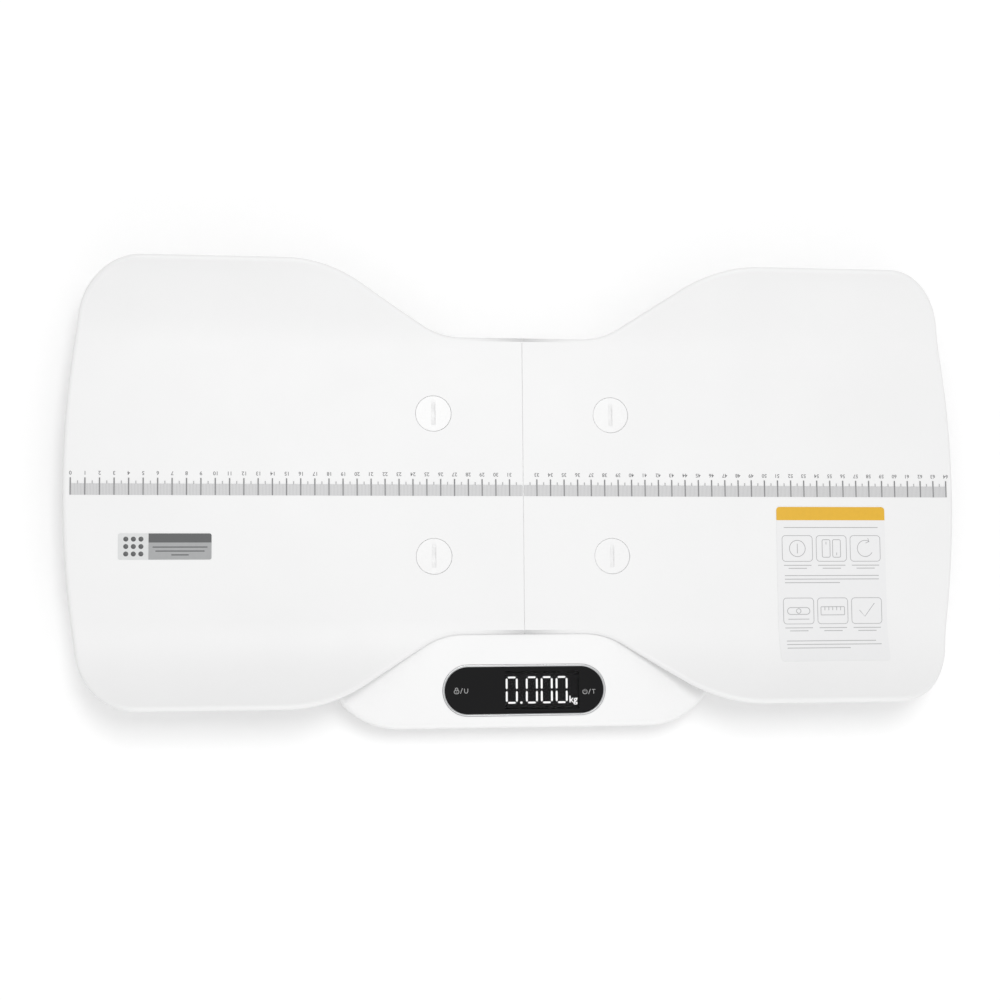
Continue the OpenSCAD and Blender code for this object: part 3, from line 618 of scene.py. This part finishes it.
# The cup round a screw, from the tray's upper side down its bore, under its floor and up its outside
CUP_PROFILE = [(13.3, 35.0), (13.15, 34.97), (13.04, 34.88), (13.0, 34.7), (13.0, 30.4), (12.92, 30.18),
               (12.7, 30.1), (3.1, 30.1), (3.1, 28.4), (15.6, 28.4), (15.88, 28.52), (16.0, 28.8),
               (16.0, 32.0)]
# How much the normals at the seam's ends turn towards the seam
SEAM_TURN = 0.6


def unit_rows(rows):
    """Each row as a vector of length 1. Rows of zeros stay zeros."""
    length = np.linalg.norm(rows, axis=1)[:, None]
    return np.divide(rows, length, out=np.zeros_like(rows), where=length > 0)


def rim_ring():
    """Plan points where the rim starts, their outward directions, and which are on the seam or its ends.

    The ring is the outline moved inwards by the rim's reach. On a bend the reach is seen at an angle, so that
    the move depends on the lean there, and it is worked out three times over.
    """
    outline = half_outline()
    out = outward(outline)
    out[0], out[-1] = (0, -1), (0, 1)
    inner = outline
    for _ in range(3):
        lean = (tray_normal(inner[:, 1])[:, 1] * out[:, 1])[:, None]
        inner = outline - out * (RIM[:, 0] * np.sqrt(1 - lean ** 2) - RIM[:, 1] * lean).max(1)[:, None]
    ends = np.zeros(len(inner))
    ends[[0, -1]] = 1
    ring = with_rows(inner, TRAY_ROWS, out, ends)
    # Rows that cross the closing side lie on the seam, after the last point of the outline
    last = int(np.nonzero(ring[:, 4] == 1)[0][-1])
    on_seam = np.arange(len(ring)) > last
    on_end = (ring[:, 4] > 0.999) & ~on_seam
    return ring[:, :2], np.where(on_seam[:, None], 0, unit_rows(ring[:, 2:4])), on_seam, on_end


def rim_skin(place, out, on_seam, on_end):
    """Points, faces and normals of the rim and the seam's wall.

    The edge between the tray's two sides follows the rim's section, in the plane of the normal and the
    outward direction. The seam is a flat wall with its edges eased.
    """
    normal = tray_normal(place[:, 1])
    top = np.column_stack([place, tray_height(place[:, 1])])
    side = np.column_stack([out, np.zeros(len(out))])
    side = unit_rows(side - normal * (side * normal).sum(1)[:, None])
    rings, aims = [], []
    slopes = np.gradient(RIM, axis=0)
    slopes[0], slopes[-1] = (1, 0), (-1, 0)
    for (reach, drop), (ahead, down) in zip(RIM, slopes):
        ease = max(SEAM_SOFT - min(drop, WALL - drop), 0) / SEAM_SOFT
        points = top - normal * drop + side * reach
        points[on_seam | on_end, 0] = SEAM_SOFT * (1 - math.sqrt(1 - ease ** 2))
        rings.append(points)
        aim = normal * ahead + side * down
        flat = np.array([-math.sqrt(1 - ease ** 2), 0, 0])
        aim[on_seam] = normal[on_seam] * ease * (1 if drop < WALL / 2 else -1) + flat
        aim[on_end] += flat * SEAM_TURN
        aims.append(unit_rows(aim))
    # A ring below is stored after the ring above it, so the faces are turned to look outwards
    rim = flipped((np.concatenate(rings), grid_faces(len(rings), len(place), close_columns=True)))
    return rim, np.concatenate(aims)


def cup_normals(unit):
    """Normals of a cup: those of the two sides of its profile that meet in a point, added and turned."""
    steps = np.diff(np.array(CUP_PROFILE), axis=0)
    facing = np.column_stack([steps[:, 1], -steps[:, 0]])
    lean = unit_rows(np.concatenate([facing[:1], facing]) + np.concatenate([facing, facing[-1:]]))
    lean[0], lean[-1] = (0, 1), (0, -1)
    return np.concatenate([np.column_stack([unit * a, np.full(len(unit), b)]) for a, b in lean])


def tray_half():
    """The right half of the tray as points, faces and normals.

    Its upper side is the trough's surface and its lower side lies a wall's thickness along the normal below.
    A rim joins them, and a cup is turned about each screw's axis.
    """
    place, out, on_seam, on_end = rim_ring()
    rim, aims = rim_skin(place, out, on_seam, on_end)
    domain = place.copy()
    domain[on_seam | on_end, 0] = SEAM_SOFT
    screws = [(x, y + TRAY_Y) for x, y in SCREWS if x > 0]
    turn = np.linspace(0, FULL_TURN, BORE_STEPS, endpoint=False)
    unit = np.column_stack([np.cos(turn), np.sin(turn)])
    shapes, normals = [rim], [aims]
    for hole, sign in ((CUP_PROFILE[0][0], 1), (CUP_PROFILE[-1][0], -1)):
        holes = [np.array(screw) + hole * unit for screw in screws]
        flat, faces = filled(domain, holes, TRAY_ROWS)
        aim = tray_normal(flat[:, 1])
        skin = np.column_stack([flat, tray_height(flat[:, 1])])
        if sign < 0:
            skin -= aim * WALL
            faces = [face[::-1] for face in faces]
        shapes.append((skin, faces))
        normals.append(aim * sign)
    for screw in screws:
        shapes.append(shifted(lathe(CUP_PROFILE, BORE_STEPS), *screw))
        normals.append(cup_normals(unit))
    return join(*shapes), np.concatenate(normals)


def mirrored(shape):
    """A shape reflected in the plane X = 0, its faces turned to match."""
    return flipped((shape[0] * [-1, 1, 1], shape[1]))


half, half_aims = tray_half()
make_piece("tray_half_right", half, FINISHES["tray"], ["tray_right"], aims=half_aims)
make_piece("tray_half_left", mirrored(half), FINISHES["tray"], ["tray_left"],
           aims=half_aims * [-1, 1, 1])


# ---------------------------------------------------------------- tray screws

HEAD_RADIUS = 12.88
HEAD_EDGE = 0.35
HEAD_TOP = 34.7
SLOT_HALF = 8.5
SLOT_SIDE = 1.4
SLOT_DEPTH = 2.0
# The slot's soft lip: how far out from its wall, and how far down. Its last two points reach the floor.
LIP_OUT = np.array([0.3, 0.12, 0.03, 0.0, 0.0, -0.1])
LIP_DOWN = np.array([0.0, 0.03, 0.12, 0.3, SLOT_DEPTH, SLOT_DEPTH])
HEAD_FOOT = [(0, 16.4), (2.7, 16.4), (3.0, 16.7), (3.0, 30.4), (12.45, 30.4), (12.7, 30.65)]


def coin_slot():
    """A slot whose floor is an arc like a coin's edge. Across it run a soft lip, a wall and a flat floor."""
    across = np.concatenate([-SLOT_SIDE - LIP_OUT, (SLOT_SIDE + LIP_OUT)[::-1]])
    depth = np.concatenate([LIP_DOWN, LIP_DOWN[::-1]])
    along = np.linspace(-SLOT_HALF, SLOT_HALF, 33)
    coin = (SLOT_HALF ** 2 + SLOT_DEPTH ** 2) / (2 * SLOT_DEPTH)
    floor = np.sqrt(coin ** 2 - along ** 2) - (coin - SLOT_DEPTH)
    drop = np.minimum(depth[None], np.maximum(floor, 0)[:, None])
    x, y = np.meshgrid(across, along)
    points = np.stack([x, y, HEAD_TOP - drop], -1)
    edge = np.concatenate([points[0], points[1:, -1], points[-1, -2::-1], points[-2:0:-1, 0]])[:, :2]
    return (points.reshape(-1, 3), grid_faces(len(along), len(across))), edge


def coin_screw(x, y):
    """A flat-headed screw with a coin slot: the top is filled round the slot, and the rest is turned."""
    slot, edge = coin_slot()
    turn = np.linspace(0, FULL_TURN, BORE_STEPS, endpoint=False)
    rim = (HEAD_RADIUS - HEAD_EDGE) * np.column_stack([np.cos(turn), np.sin(turn)])
    flat, faces = filled(rim, [edge])
    top = np.column_stack([flat, np.full(len(flat), HEAD_TOP)]), faces
    ease = np.linspace(0, QUARTER, 6)
    crown = np.column_stack([HEAD_RADIUS - HEAD_EDGE * (1 - np.cos(ease)),
                             HEAD_TOP - HEAD_EDGE * (1 - np.sin(ease))])
    return shifted(join(slot, top, lathe([*HEAD_FOOT, *crown], BORE_STEPS)), x, y + TRAY_Y)


for (x, y), corner in zip(SCREWS, SCREW_NAMES):
    make_piece("coin_screw_" + corner, coin_screw(x, y), FINISHES["knob"], ["tray_screw_" + corner],
               body="tray_screw_" + corner)


# ---------------------------------------------------------------- ruler

CENTIMETRE = 10.0
LAST_MARK = 64
MIDDLE_MARK = 32
BAND = 8.0
SEAM_SPACE = 0.6
BAND_LENGTH = 319.4
FILM = (0.05, 0.25)
INK_TOP = 0.28
TICK_WIDTH = 0.85
TICK_REACH = 4.1
HALF_TICK = (TRAY_Y - 0.2, TRAY_Y + 2.0)
HALF_TICK_WIDTH = 0.65
FIGURE_HEIGHT = 2.8
FIGURE_REACH = 7.4


def tick(x, low, high, width):
    """One line across the ruler."""
    left, right = x - width / 2, x + width / 2
    return prism([(left, low), (right, low), (right, high), (left, high)], 0.0, INK_TOP)


for side, sign in (("left", -1), ("right", 1)):
    band = tablet((BAND_LENGTH, BAND), 0.3, TRAY_TOP + FILM[0], TRAY_TOP + FILM[1], 0.05, 3)
    along = sign * (SEAM_SPACE + BAND_LENGTH / 2)
    make_piece("ruler_band_" + side, shifted(band, along, TRAY_Y - BAND / 2), FINISHES["ruler_film"],
               nodes=["ruler_strip_" + side])
    numbers = [k for k in range(LAST_MARK + 1) if (k - MIDDLE_MARK) * sign > 0]
    places = {k: CENTIMETRE * (k - MIDDLE_MARK) for k in numbers}
    lines = [tick(x, TRAY_Y - BAND, TRAY_Y + TICK_REACH, TICK_WIDTH) for x in places.values()]
    make_piece("ruler_lines_" + side, shifted(join(*lines), z=TRAY_TOP), INK,
               weighted=False)
    halves = [tick(sign * CENTIMETRE * (i + 0.5), *HALF_TICK, HALF_TICK_WIDTH) for i in range(MIDDLE_MARK)]
    make_piece("ruler_halves_" + side, shifted(join(*halves), z=TRAY_TOP), PALE_INK,
               weighted=False)
    figures = []
    for number, x in places.items():
        points, faces = letters(str(number), FIGURE_HEIGHT, 0.0, 0.05, 0.015)
        turned = points * [-1, -1, 1], faces
        figures.append(shifted(turned, x, TRAY_Y + FIGURE_REACH, TRAY_TOP))
    make_piece("ruler_figures_" + side, join(*figures), INK, weighted=False)


# ---------------------------------------------------------------- labels

CARE_AT = (-254.7, -36.3)
CARE_SIZE = (64.6, 18.4)
CARE_SPLIT = 21.0
CARE_HEADER = 6.4
DOT_PITCH = 5.2
DOT_PROFILE = [(0, 0.2), (1.75, 0.2), (1.75, 0.26), (1.7, 0.28), (0, 0.28)]
DOTS_IN = 10.6
CARE_LINE = 0.8
CARE_TEXT = ((-0.4, 19.0), (-3.2, 17.0), (-5.9, 6.0))
GUIDE_AT = (230.0, -64.2)
GUIDE_SIZE = (83.0, 113.5)
GUIDE_HEADER = 9.85
PRINT = (0.22, 0.29)
FINE_PRINT = (0.22, 0.28)
SQUARE = 0.05


def plate(size, radius, at, low, high):
    """A flat plate on the tray's level part."""
    return shifted(tablet(size, radius, low, high, 0.04, 6), at[0], at[1], TRAY_TOP)


def block_of(left, right, low, high, corners):
    """Plan outline of a block, each corner rounded by its own radius, from front left anticlockwise."""
    spots = np.array([(left, low), (right, low), (right, high), (left, high)], float)
    inward = np.array([(1, 1), (-1, 1), (-1, -1), (1, -1)])
    turns = [arc(spot + way * r, r, 180 + 90 * i, 270 + 90 * i, 7)
             for i, (spot, way, r) in enumerate(zip(spots, inward, corners))]
    return np.concatenate(turns)


care_left, care_right = CARE_AT[0] - CARE_SIZE[0] / 2, CARE_AT[0] + CARE_SIZE[0] / 2
care_front, care_back = CARE_AT[1] - CARE_SIZE[1] / 2, CARE_AT[1] + CARE_SIZE[1] / 2
care_split = care_left + CARE_SPLIT
care_middle = (care_split + care_right) / 2
make_piece("care_label_base", plate(CARE_SIZE, 1.5, CARE_AT, *FILM), FINISHES["grey_label"],
           nodes=["care_label"])
header_edge = care_back - CARE_HEADER
upper_block = block_of(care_split, care_right, header_edge, care_back, (SQUARE, SQUARE, 1.5, SQUARE))
lower_block = block_of(care_split, care_right, care_front, header_edge, (SQUARE, 1.5, SQUARE, SQUARE))
make_piece("care_label_header", prism(upper_block, TRAY_TOP + 0.24, TRAY_TOP + 0.28), DARK_INK,
           weighted=False)
make_piece("care_label_body", prism(lower_block, TRAY_TOP + 0.24, TRAY_TOP + 0.27), MID_INK,
           weighted=False)
dot = lathe(DOT_PROFILE, 32)
dots = [shifted(dot, care_left + DOTS_IN + DOT_PITCH * i, CARE_AT[1] + DOT_PITCH * j, TRAY_TOP)
        for i in (-1, 0, 1) for j in (-1, 0, 1)]
make_piece("care_label_dots", join(*dots), DARK_INK)
blanks = [stroke(line((care_middle - half_line, CARE_AT[1] + y), (care_middle + half_line, CARE_AT[1] + y)),
                 CARE_LINE, 0.25, 0.29)
          for y, half_line in CARE_TEXT]
make_piece("care_label_lines", shifted(join(*blanks), z=TRAY_TOP), DARK_INK,
           weighted=False)


def on_guide(x, y):
    """A plan point on the large label, from its middle."""
    return np.array([GUIDE_AT[0] + x, GUIDE_AT[1] + y])


def guide_line(left, right, y, steps):
    """A blank line on the large label, where its text would be."""
    return stroke(line(on_guide(left, y), on_guide(right, y), steps), 0.55, *FINE_PRINT)


def frame_with(icon, x, y):
    """One step of the guide: a round-cornered frame with its drawing, and two blank lines below it."""
    box = rounded_loop((23, 19), 2.5, 8)
    parts = [stroke(box + on_guide(x, y), 0.45, *PRINT, closed=True)]
    parts += [stroke(path + on_guide(x, y), 0.5, *PRINT, closed=closed) for path, closed in icon]
    return parts + [guide_line(x - 10.5, x + 10.5, y - 12.4, 4), guide_line(x - 7, x + 7, y - 14.6, 4)]


# Each icon is a list of paths, with whether a path closes on itself
SCREW_ICON = [(arc((0, 0), 6, 0, 352, 40), True), (line((0, -3.6), (0, 3.6), 4), False)]
TURN_ICON = [(arc((0, 0), 6, 60, 330, 30), False), (np.array([(2.2, 7.6), (3.1, 5.0), (0.4, 4.0)]), False)]
CELL_ICON = [(rounded_loop((6, 13), 1, 4) + [-4, 0], True), (rounded_loop((6, 13), 1, 4) + [4, 0], True),
             (line((-4, 3), (-4, 5)), False), (line((4, -5), (4, -3)), False)]
LEVEL_ICON = [(rounded_loop((17, 5), 2.5, 8), True), (arc((0, 0), 1.7, 0, 345, 20), True),
              (line((-8, -6), (8, -6), 4), False)]
RULE_MARKS = [(line((x, 3), (x, 0.4)), False) for x in (-6, -3, 0, 3, 6)]
RULE_ICON = [(rounded_loop((18, 6), 0.5, 4), True), *RULE_MARKS]
TICK_ICON = [(np.array([(-5.5, 0.5), (-1.5, -4.2), (6, 5.5)]), False)]

guide_loop = rounded_loop(GUIDE_SIZE, 2.4, 6) + GUIDE_AT
make_piece("guide_label_sheet", draped(film(guide_loop, *FILM, TRAY_ROWS)), FINISHES["guide_film"],
           nodes=["guide_label"])
guide_back = GUIDE_AT[1] + GUIDE_SIZE[1] / 2
header = block_of(GUIDE_AT[0] - GUIDE_SIZE[0] / 2, GUIDE_AT[0] + GUIDE_SIZE[0] / 2, guide_back - GUIDE_HEADER,
                  guide_back, (SQUARE, SQUARE, 2.5, 2.5))
make_piece("guide_label_header", draped(prism(header, *PRINT)), YELLOW_INK,
           weighted=False)
drawings = []
for y, icons in ((26, (SCREW_ICON, CELL_ICON, TURN_ICON)), (-20, (LEVEL_ICON, RULE_ICON, TICK_ICON))):
    for x, icon in zip((-26, 0, 26), icons):
        drawings += frame_with(icon, x, y)
GUIDE_TEXT = ((41.5, 36), (6, 36), (3.4, 36), (0.8, 6), (-42, 32), (-44.6, 36), (-47.2, 12))
drawings += [guide_line(-36, right, y, 6) for y, right in GUIDE_TEXT]
make_piece("guide_label_drawings", draped(join(*drawings)), PALE_INK, weighted=False)


# ---------------------------------------------------------------- display

LENS = (30.6, 32.2)
BEZEL_MARGIN = 3.4
# How far each point of the silver frame's section lies outside its outer side, and its height
BEZEL_PROFILE = [(0.0, 30.2), (0.0, 32.1), (-0.08, 32.28), (-0.25, 32.38), (-0.42, 32.4), (-0.8, 32.4),
                 (-0.95, 32.37), (-1.45, 32.1), (-1.55, 31.95), (-1.55, 30.2)]


def display_loop(outset, steps=28):
    """The display's outline, grown or shrunk all round."""
    size = np.array(LENS_SIZE) + BEZEL_MARGIN + 2 * outset
    return rounded_loop(size, size[1] / 2, steps) + [0, LENS_Y]


bezel_loops = [display_loop(outset) for outset, _ in BEZEL_PROFILE]
bezel = stacked(bezel_loops, [z for _, z in BEZEL_PROFILE], closed=True)
make_piece("bezel_ring", bezel, FINISHES["bezel"], nodes=["display_bezel"])
make_piece("window_pane", shifted(tablet(LENS_SIZE, LENS_SIZE[1] / 2, *LENS, 0.25, 28), y=LENS_Y),
           FINISHES["window"], nodes=["display_lens"])

SEGMENT = (30.0, 30.3)
BAR = 1.32
# Half the spread of a digit's lying bars, and how far its upright bars lie from its middle
DIGIT_RISE = 9.05
UPRIGHT_AT = (3.68, 4.55)
DIGIT_BARS = (5.9, 7.7)
POINT_DROP = 9.0
# The black strips in front of and behind the digit block hide the gaps beside it
STRIP_HALF = 42.0
STRIP_WIDTH = 1.8
STRIP_FRONTS = (-12.15, 10.35)
STRIP = (30.0, 30.1)

mask_strips = [prism(block_of(-STRIP_HALF, STRIP_HALF, LENS_Y + front, LENS_Y + front + STRIP_WIDTH,
                              (0.3,) * 4), *STRIP) for front in STRIP_FRONTS]
make_piece("digit_mask", join(*mask_strips), FINISHES["block"], weighted=False)


def lit_bar(x, y, length, upright):
    """One bar of a digit: a long hexagon."""
    tip, half = length / 2, BAR / 2
    outline = np.array([(-tip, 0), (-tip + half, -half), (tip - half, -half), (tip, 0), (tip - half, half),
                        (-tip + half, half)])
    if upright:
        # A quarter turn keeps the outline anticlockwise
        outline = outline[:, ::-1] * [-1, 1]
    return prism(outline + [x, LENS_Y + y], *SEGMENT)


bars = []
for x in DIGIT_X:
    bars += [lit_bar(x, way * DIGIT_RISE, DIGIT_BARS[0], upright=False) for way in (-1, 1)]
    bars += [lit_bar(x + across * UPRIGHT_AT[0], way * UPRIGHT_AT[1], DIGIT_BARS[1], upright=True)
             for across in (-1, 1) for way in (-1, 1)]
bars.append(prism(arc((POINT_X, LENS_Y - POINT_DROP), 0.85, 0, 345, 24), *SEGMENT))
make_piece("lit_digits", join(*bars), FINISHES["digits"], nodes=["digit_segments"],
           weighted=False)
unit = shifted(letters("kg", 5.0, *SEGMENT, weight=0.012), 36.0, LENS_Y - 7.7)
make_piece("lit_unit", unit, FINISHES["digits"], weighted=False)

MARK = (32.16, 32.23)
LOCK_AT = (-49.2, LENS_Y - 0.1)
POWER_AT = (44.1, LENS_Y - 1.6)
MARK_LINE = 0.32
SHACKLE = np.concatenate([line((-0.95, 0.6), (-0.95, 1.2), 3), arc((0, 1.2), 0.95, 165, 15, 9),
                          line((0.95, 1.2), (0.95, 0.6), 3)])
LOCK = [(rounded_loop((3.4, 2.5), 1.1, 6) + [0, -0.7], True), (SHACKLE, False),
        (line((-0.5, -0.7), (0.5, -0.7)), False)]
SLASH = [(line((-0.75, -1.9), (0.75, 1.9)), False)]
LETTER_U = [(np.concatenate([line((-1.2, 1.6), (-1.2, -0.3), 3), arc((0, -0.4), 1.2, 185, 355, 13),
                             line((1.2, -0.3), (1.2, 1.6), 3)]), False)]
LETTER_T = [(line((-1.25, 1.45), (1.25, 1.45)), False), (line((0, -1.6), (0, 1.45)), False)]
POWER = [(arc((0, 0), 1.6, 125, 415, 30), False), (line((0, 0), (0, 1.9)), False)]


def marks(spot, *signs):
    """Printed signs in a row from a spot on the window, each with its distance from the first."""
    return [stroke(path + [spot[0] + along, spot[1]], MARK_LINE, *MARK, closed=closed)
            for along, sign in signs for path, closed in sign]


lock = marks(LOCK_AT, (0, LOCK), (3.5, SLASH), (6.9, LETTER_U))
power = marks(POWER_AT, (0, POWER), (3.3, SLASH), (6.4, LETTER_T))
make_piece("touch_marks", join(*lock, *power), LEGEND, weighted=False)


# ---------------------------------------------------------------- springs

WIRE_SIDES = 8
STEPS_A_TURN = 20


def coil(start, stop, radius, wire, turns, taper=1.0):
    """Spring wire: its line circles the axis from start to stop, and a small circle is carried along it.

    The line's radius shrinks evenly to taper times its first value.
    """
    start, stop = np.array(start, float), np.array(stop, float)
    axis = (stop - start) / np.linalg.norm(stop - start)
    across = np.cross(axis, UP if abs(axis[2]) < 0.9 else [1.0, 0, 0])
    across /= np.linalg.norm(across)
    other = np.cross(axis, across)
    share = np.linspace(0, 1, int(turns * STEPS_A_TURN) + 1)
    turn = FULL_TURN * turns * share
    around = np.outer(np.cos(turn), across) + np.outer(np.sin(turn), other)
    reach = (radius * (1 + (taper - 1) * share))[:, None]
    centre = start + (stop - start) * share[:, None] + around * reach
    small = np.linspace(0, FULL_TURN, WIRE_SIDES, endpoint=False)[None, :, None]
    tube = centre[:, None] + wire * (around[:, None] * np.cos(small) + axis * np.sin(small))
    points = tube.reshape(-1, 3)
    return points, grid_faces(len(share), WIRE_SIDES, close_columns=True) + end_caps(points, WIRE_SIDES)


def corners_of(node):
    """A node's vertices in millimetres."""
    mesh = frame["nodes"][node].data
    found = np.zeros(len(mesh.vertices) * 3)
    mesh.vertices.foreach_get("co", found)
    return found.reshape(-1, 3) / MM


CELL_X = (-22.5, -7.5, 7.5, 22.5)
CELL_REACH = 6.0

spring_points = corners_of("battery_springs")
coils = []
for x in CELL_X:
    near = spring_points[np.abs(spring_points[:, 0] - x) < CELL_REACH]
    low, high = near.min(0), near.max(0)
    middle = (low + high) / 2
    toward = 1 if middle[1] < spring_points[:, 1].mean() else -1
    foot, tip = (low[1] + 0.4, high[1] - 0.4)[::toward]
    ends = [(middle[0], y, middle[2]) for y in (foot, tip)]
    coils.append(coil(*ends, radius=3.5, wire=0.4, turns=4.5, taper=0.6))
make_piece("battery_coils", join(*coils), FINISHES["spring"], nodes=["battery_springs"],
           weighted=False)
for side in ("left", "right"):
    found = corners_of("touch_spring_" + side)
    low, high = found.min(0), found.max(0)
    middle = (low + high) / 2
    ends = [(middle[0], middle[1], z) for z in (low[2] + 0.3, high[2] - 0.3)]
    wound = coil(*ends, radius=3.6, wire=0.3, turns=6)
    make_piece("touch_coil_" + side, wound, FINISHES["spring"], nodes=["touch_spring_" + side],
               weighted=False)


# ---------------------------------------------------------------- floor, light and camera

FLOOR_GLOW = 0.15
UNDER_GLOW = 0.16
HALF_FLOOR = 4.0
FLOOR_Z = -0.0002
SKY = 0.7
OVERHEAD_WATTS = 12.8
FRONT_WATTS = 7.4


def studio_floor():
    """A pale floor that keeps the shadow. It fades to white far out, and a camera under it sees through it.

    Hidden under the platform, it gives the light that a raised scale gets from below. Places are in metres.
    """
    f = Finish("studio_floor")
    seen = f.add("LightPath", out="Is Camera Ray")
    x, y = f.spot()
    far = f.math("SMOOTH_MIN", f.math("MAXIMUM", x * x + y * y - 0.5, 0.0) * 0.3, 0.4, 0.1)
    inset = f.math("MINIMUM", 0.135 - abs(x), 0.13 - abs(y - BASE_Y * MM))
    hidden = f.limit(inset * 20)
    paper = f.add("BsdfDiffuse", {}, {"Color": (0.9, 0.9, 0.9, 1)})
    strength = seen * (far + FLOOR_GLOW) + (1 - seen) * hidden * UNDER_GLOW
    glow = f.add("Emission", {}, {"Color": (1, 1, 1, 1), "Strength": strength})
    both = f.add("AddShader", {}, {0: paper, 1: glow})
    hollow = f.add("BsdfTransparent")
    under = f.add("NewGeometry", out="Backfacing")
    return f.end(f.add("MixShader", {}, {0: under, 1: both, 2: hollow}))


floor_mesh = bpy.data.meshes.new("floor")
floor_corners = [(x * HALF_FLOOR, y * HALF_FLOOR, FLOOR_Z) for x, y in ((-1, -1), (1, -1), (1, 1), (-1, 1))]
floor_mesh.from_pydata(floor_corners, [], [(0, 1, 2, 3)])
floor = bpy.data.objects.new("floor", floor_mesh)
floor_mesh.materials.append(studio_floor())
bpy.context.scene.collection.objects.link(floor)


def studio_sky():
    """Even light from all round. The camera, mirrors and glass see it plain white."""
    f = Finish("studio_sky", "worlds")
    camera_ray, glossy_ray, glass_ray = (f.add("LightPath", out=f"Is {kind} Ray")
                                         for kind in ("Camera", "Glossy", "Transmission"))
    light = f.add("Background", {}, {"Color": (1, 1, 1, 1), "Strength": SKY})
    white = f.add("Background", {}, {"Color": (1, 1, 1, 1), "Strength": 1.0})
    share = f.limit(camera_ray + glossy_ray + glass_ray)
    return f.end(f.add("MixShader", {}, {0: share, 1: light, 2: white}), "OutputWorld")


bpy.context.scene.world = studio_sky()


def soft_lamp(name, place, target, size, watts):
    """A square soft box that faces a target."""
    lamp = bpy.data.lights.new(name, "AREA")
    lamp.shape = "SQUARE"
    lamp.size = size
    lamp.energy = watts
    holder = bpy.data.objects.new(name, lamp)
    bpy.context.scene.collection.objects.link(holder)
    holder.location = place
    aim = np.array(target) - np.array(place)
    flat = math.hypot(aim[0], aim[1])
    holder.rotation_euler = (math.atan2(flat, -aim[2]), 0, math.atan2(aim[1], aim[0]) - QUARTER)


soft_lamp("overhead_box", (0.05, 0.52, 2.1), (0, 0, 0), 0.8, OVERHEAD_WATTS)
soft_lamp("front_box", (0.2, -1.9, 0.9), (0, 0, 0), 1.8, FRONT_WATTS)

CAMERA_AT = (-0.1967, -0.1051, 1.3)
CAMERA_TURN = (4.642, -8.043, -0.494)
CAMERA_LENS = 63.95
camera_data = bpy.data.cameras.new("camera")
camera_data.sensor_width = 36
camera_data.lens = CAMERA_LENS
camera = bpy.data.objects.new("camera", camera_data)
camera.location = CAMERA_AT
camera.rotation_euler = tuple(math.radians(a) for a in CAMERA_TURN)
bpy.context.scene.collection.objects.link(camera)
bpy.context.scene.camera = camera
bpy.context.scene.view_settings.view_transform = "Standard"
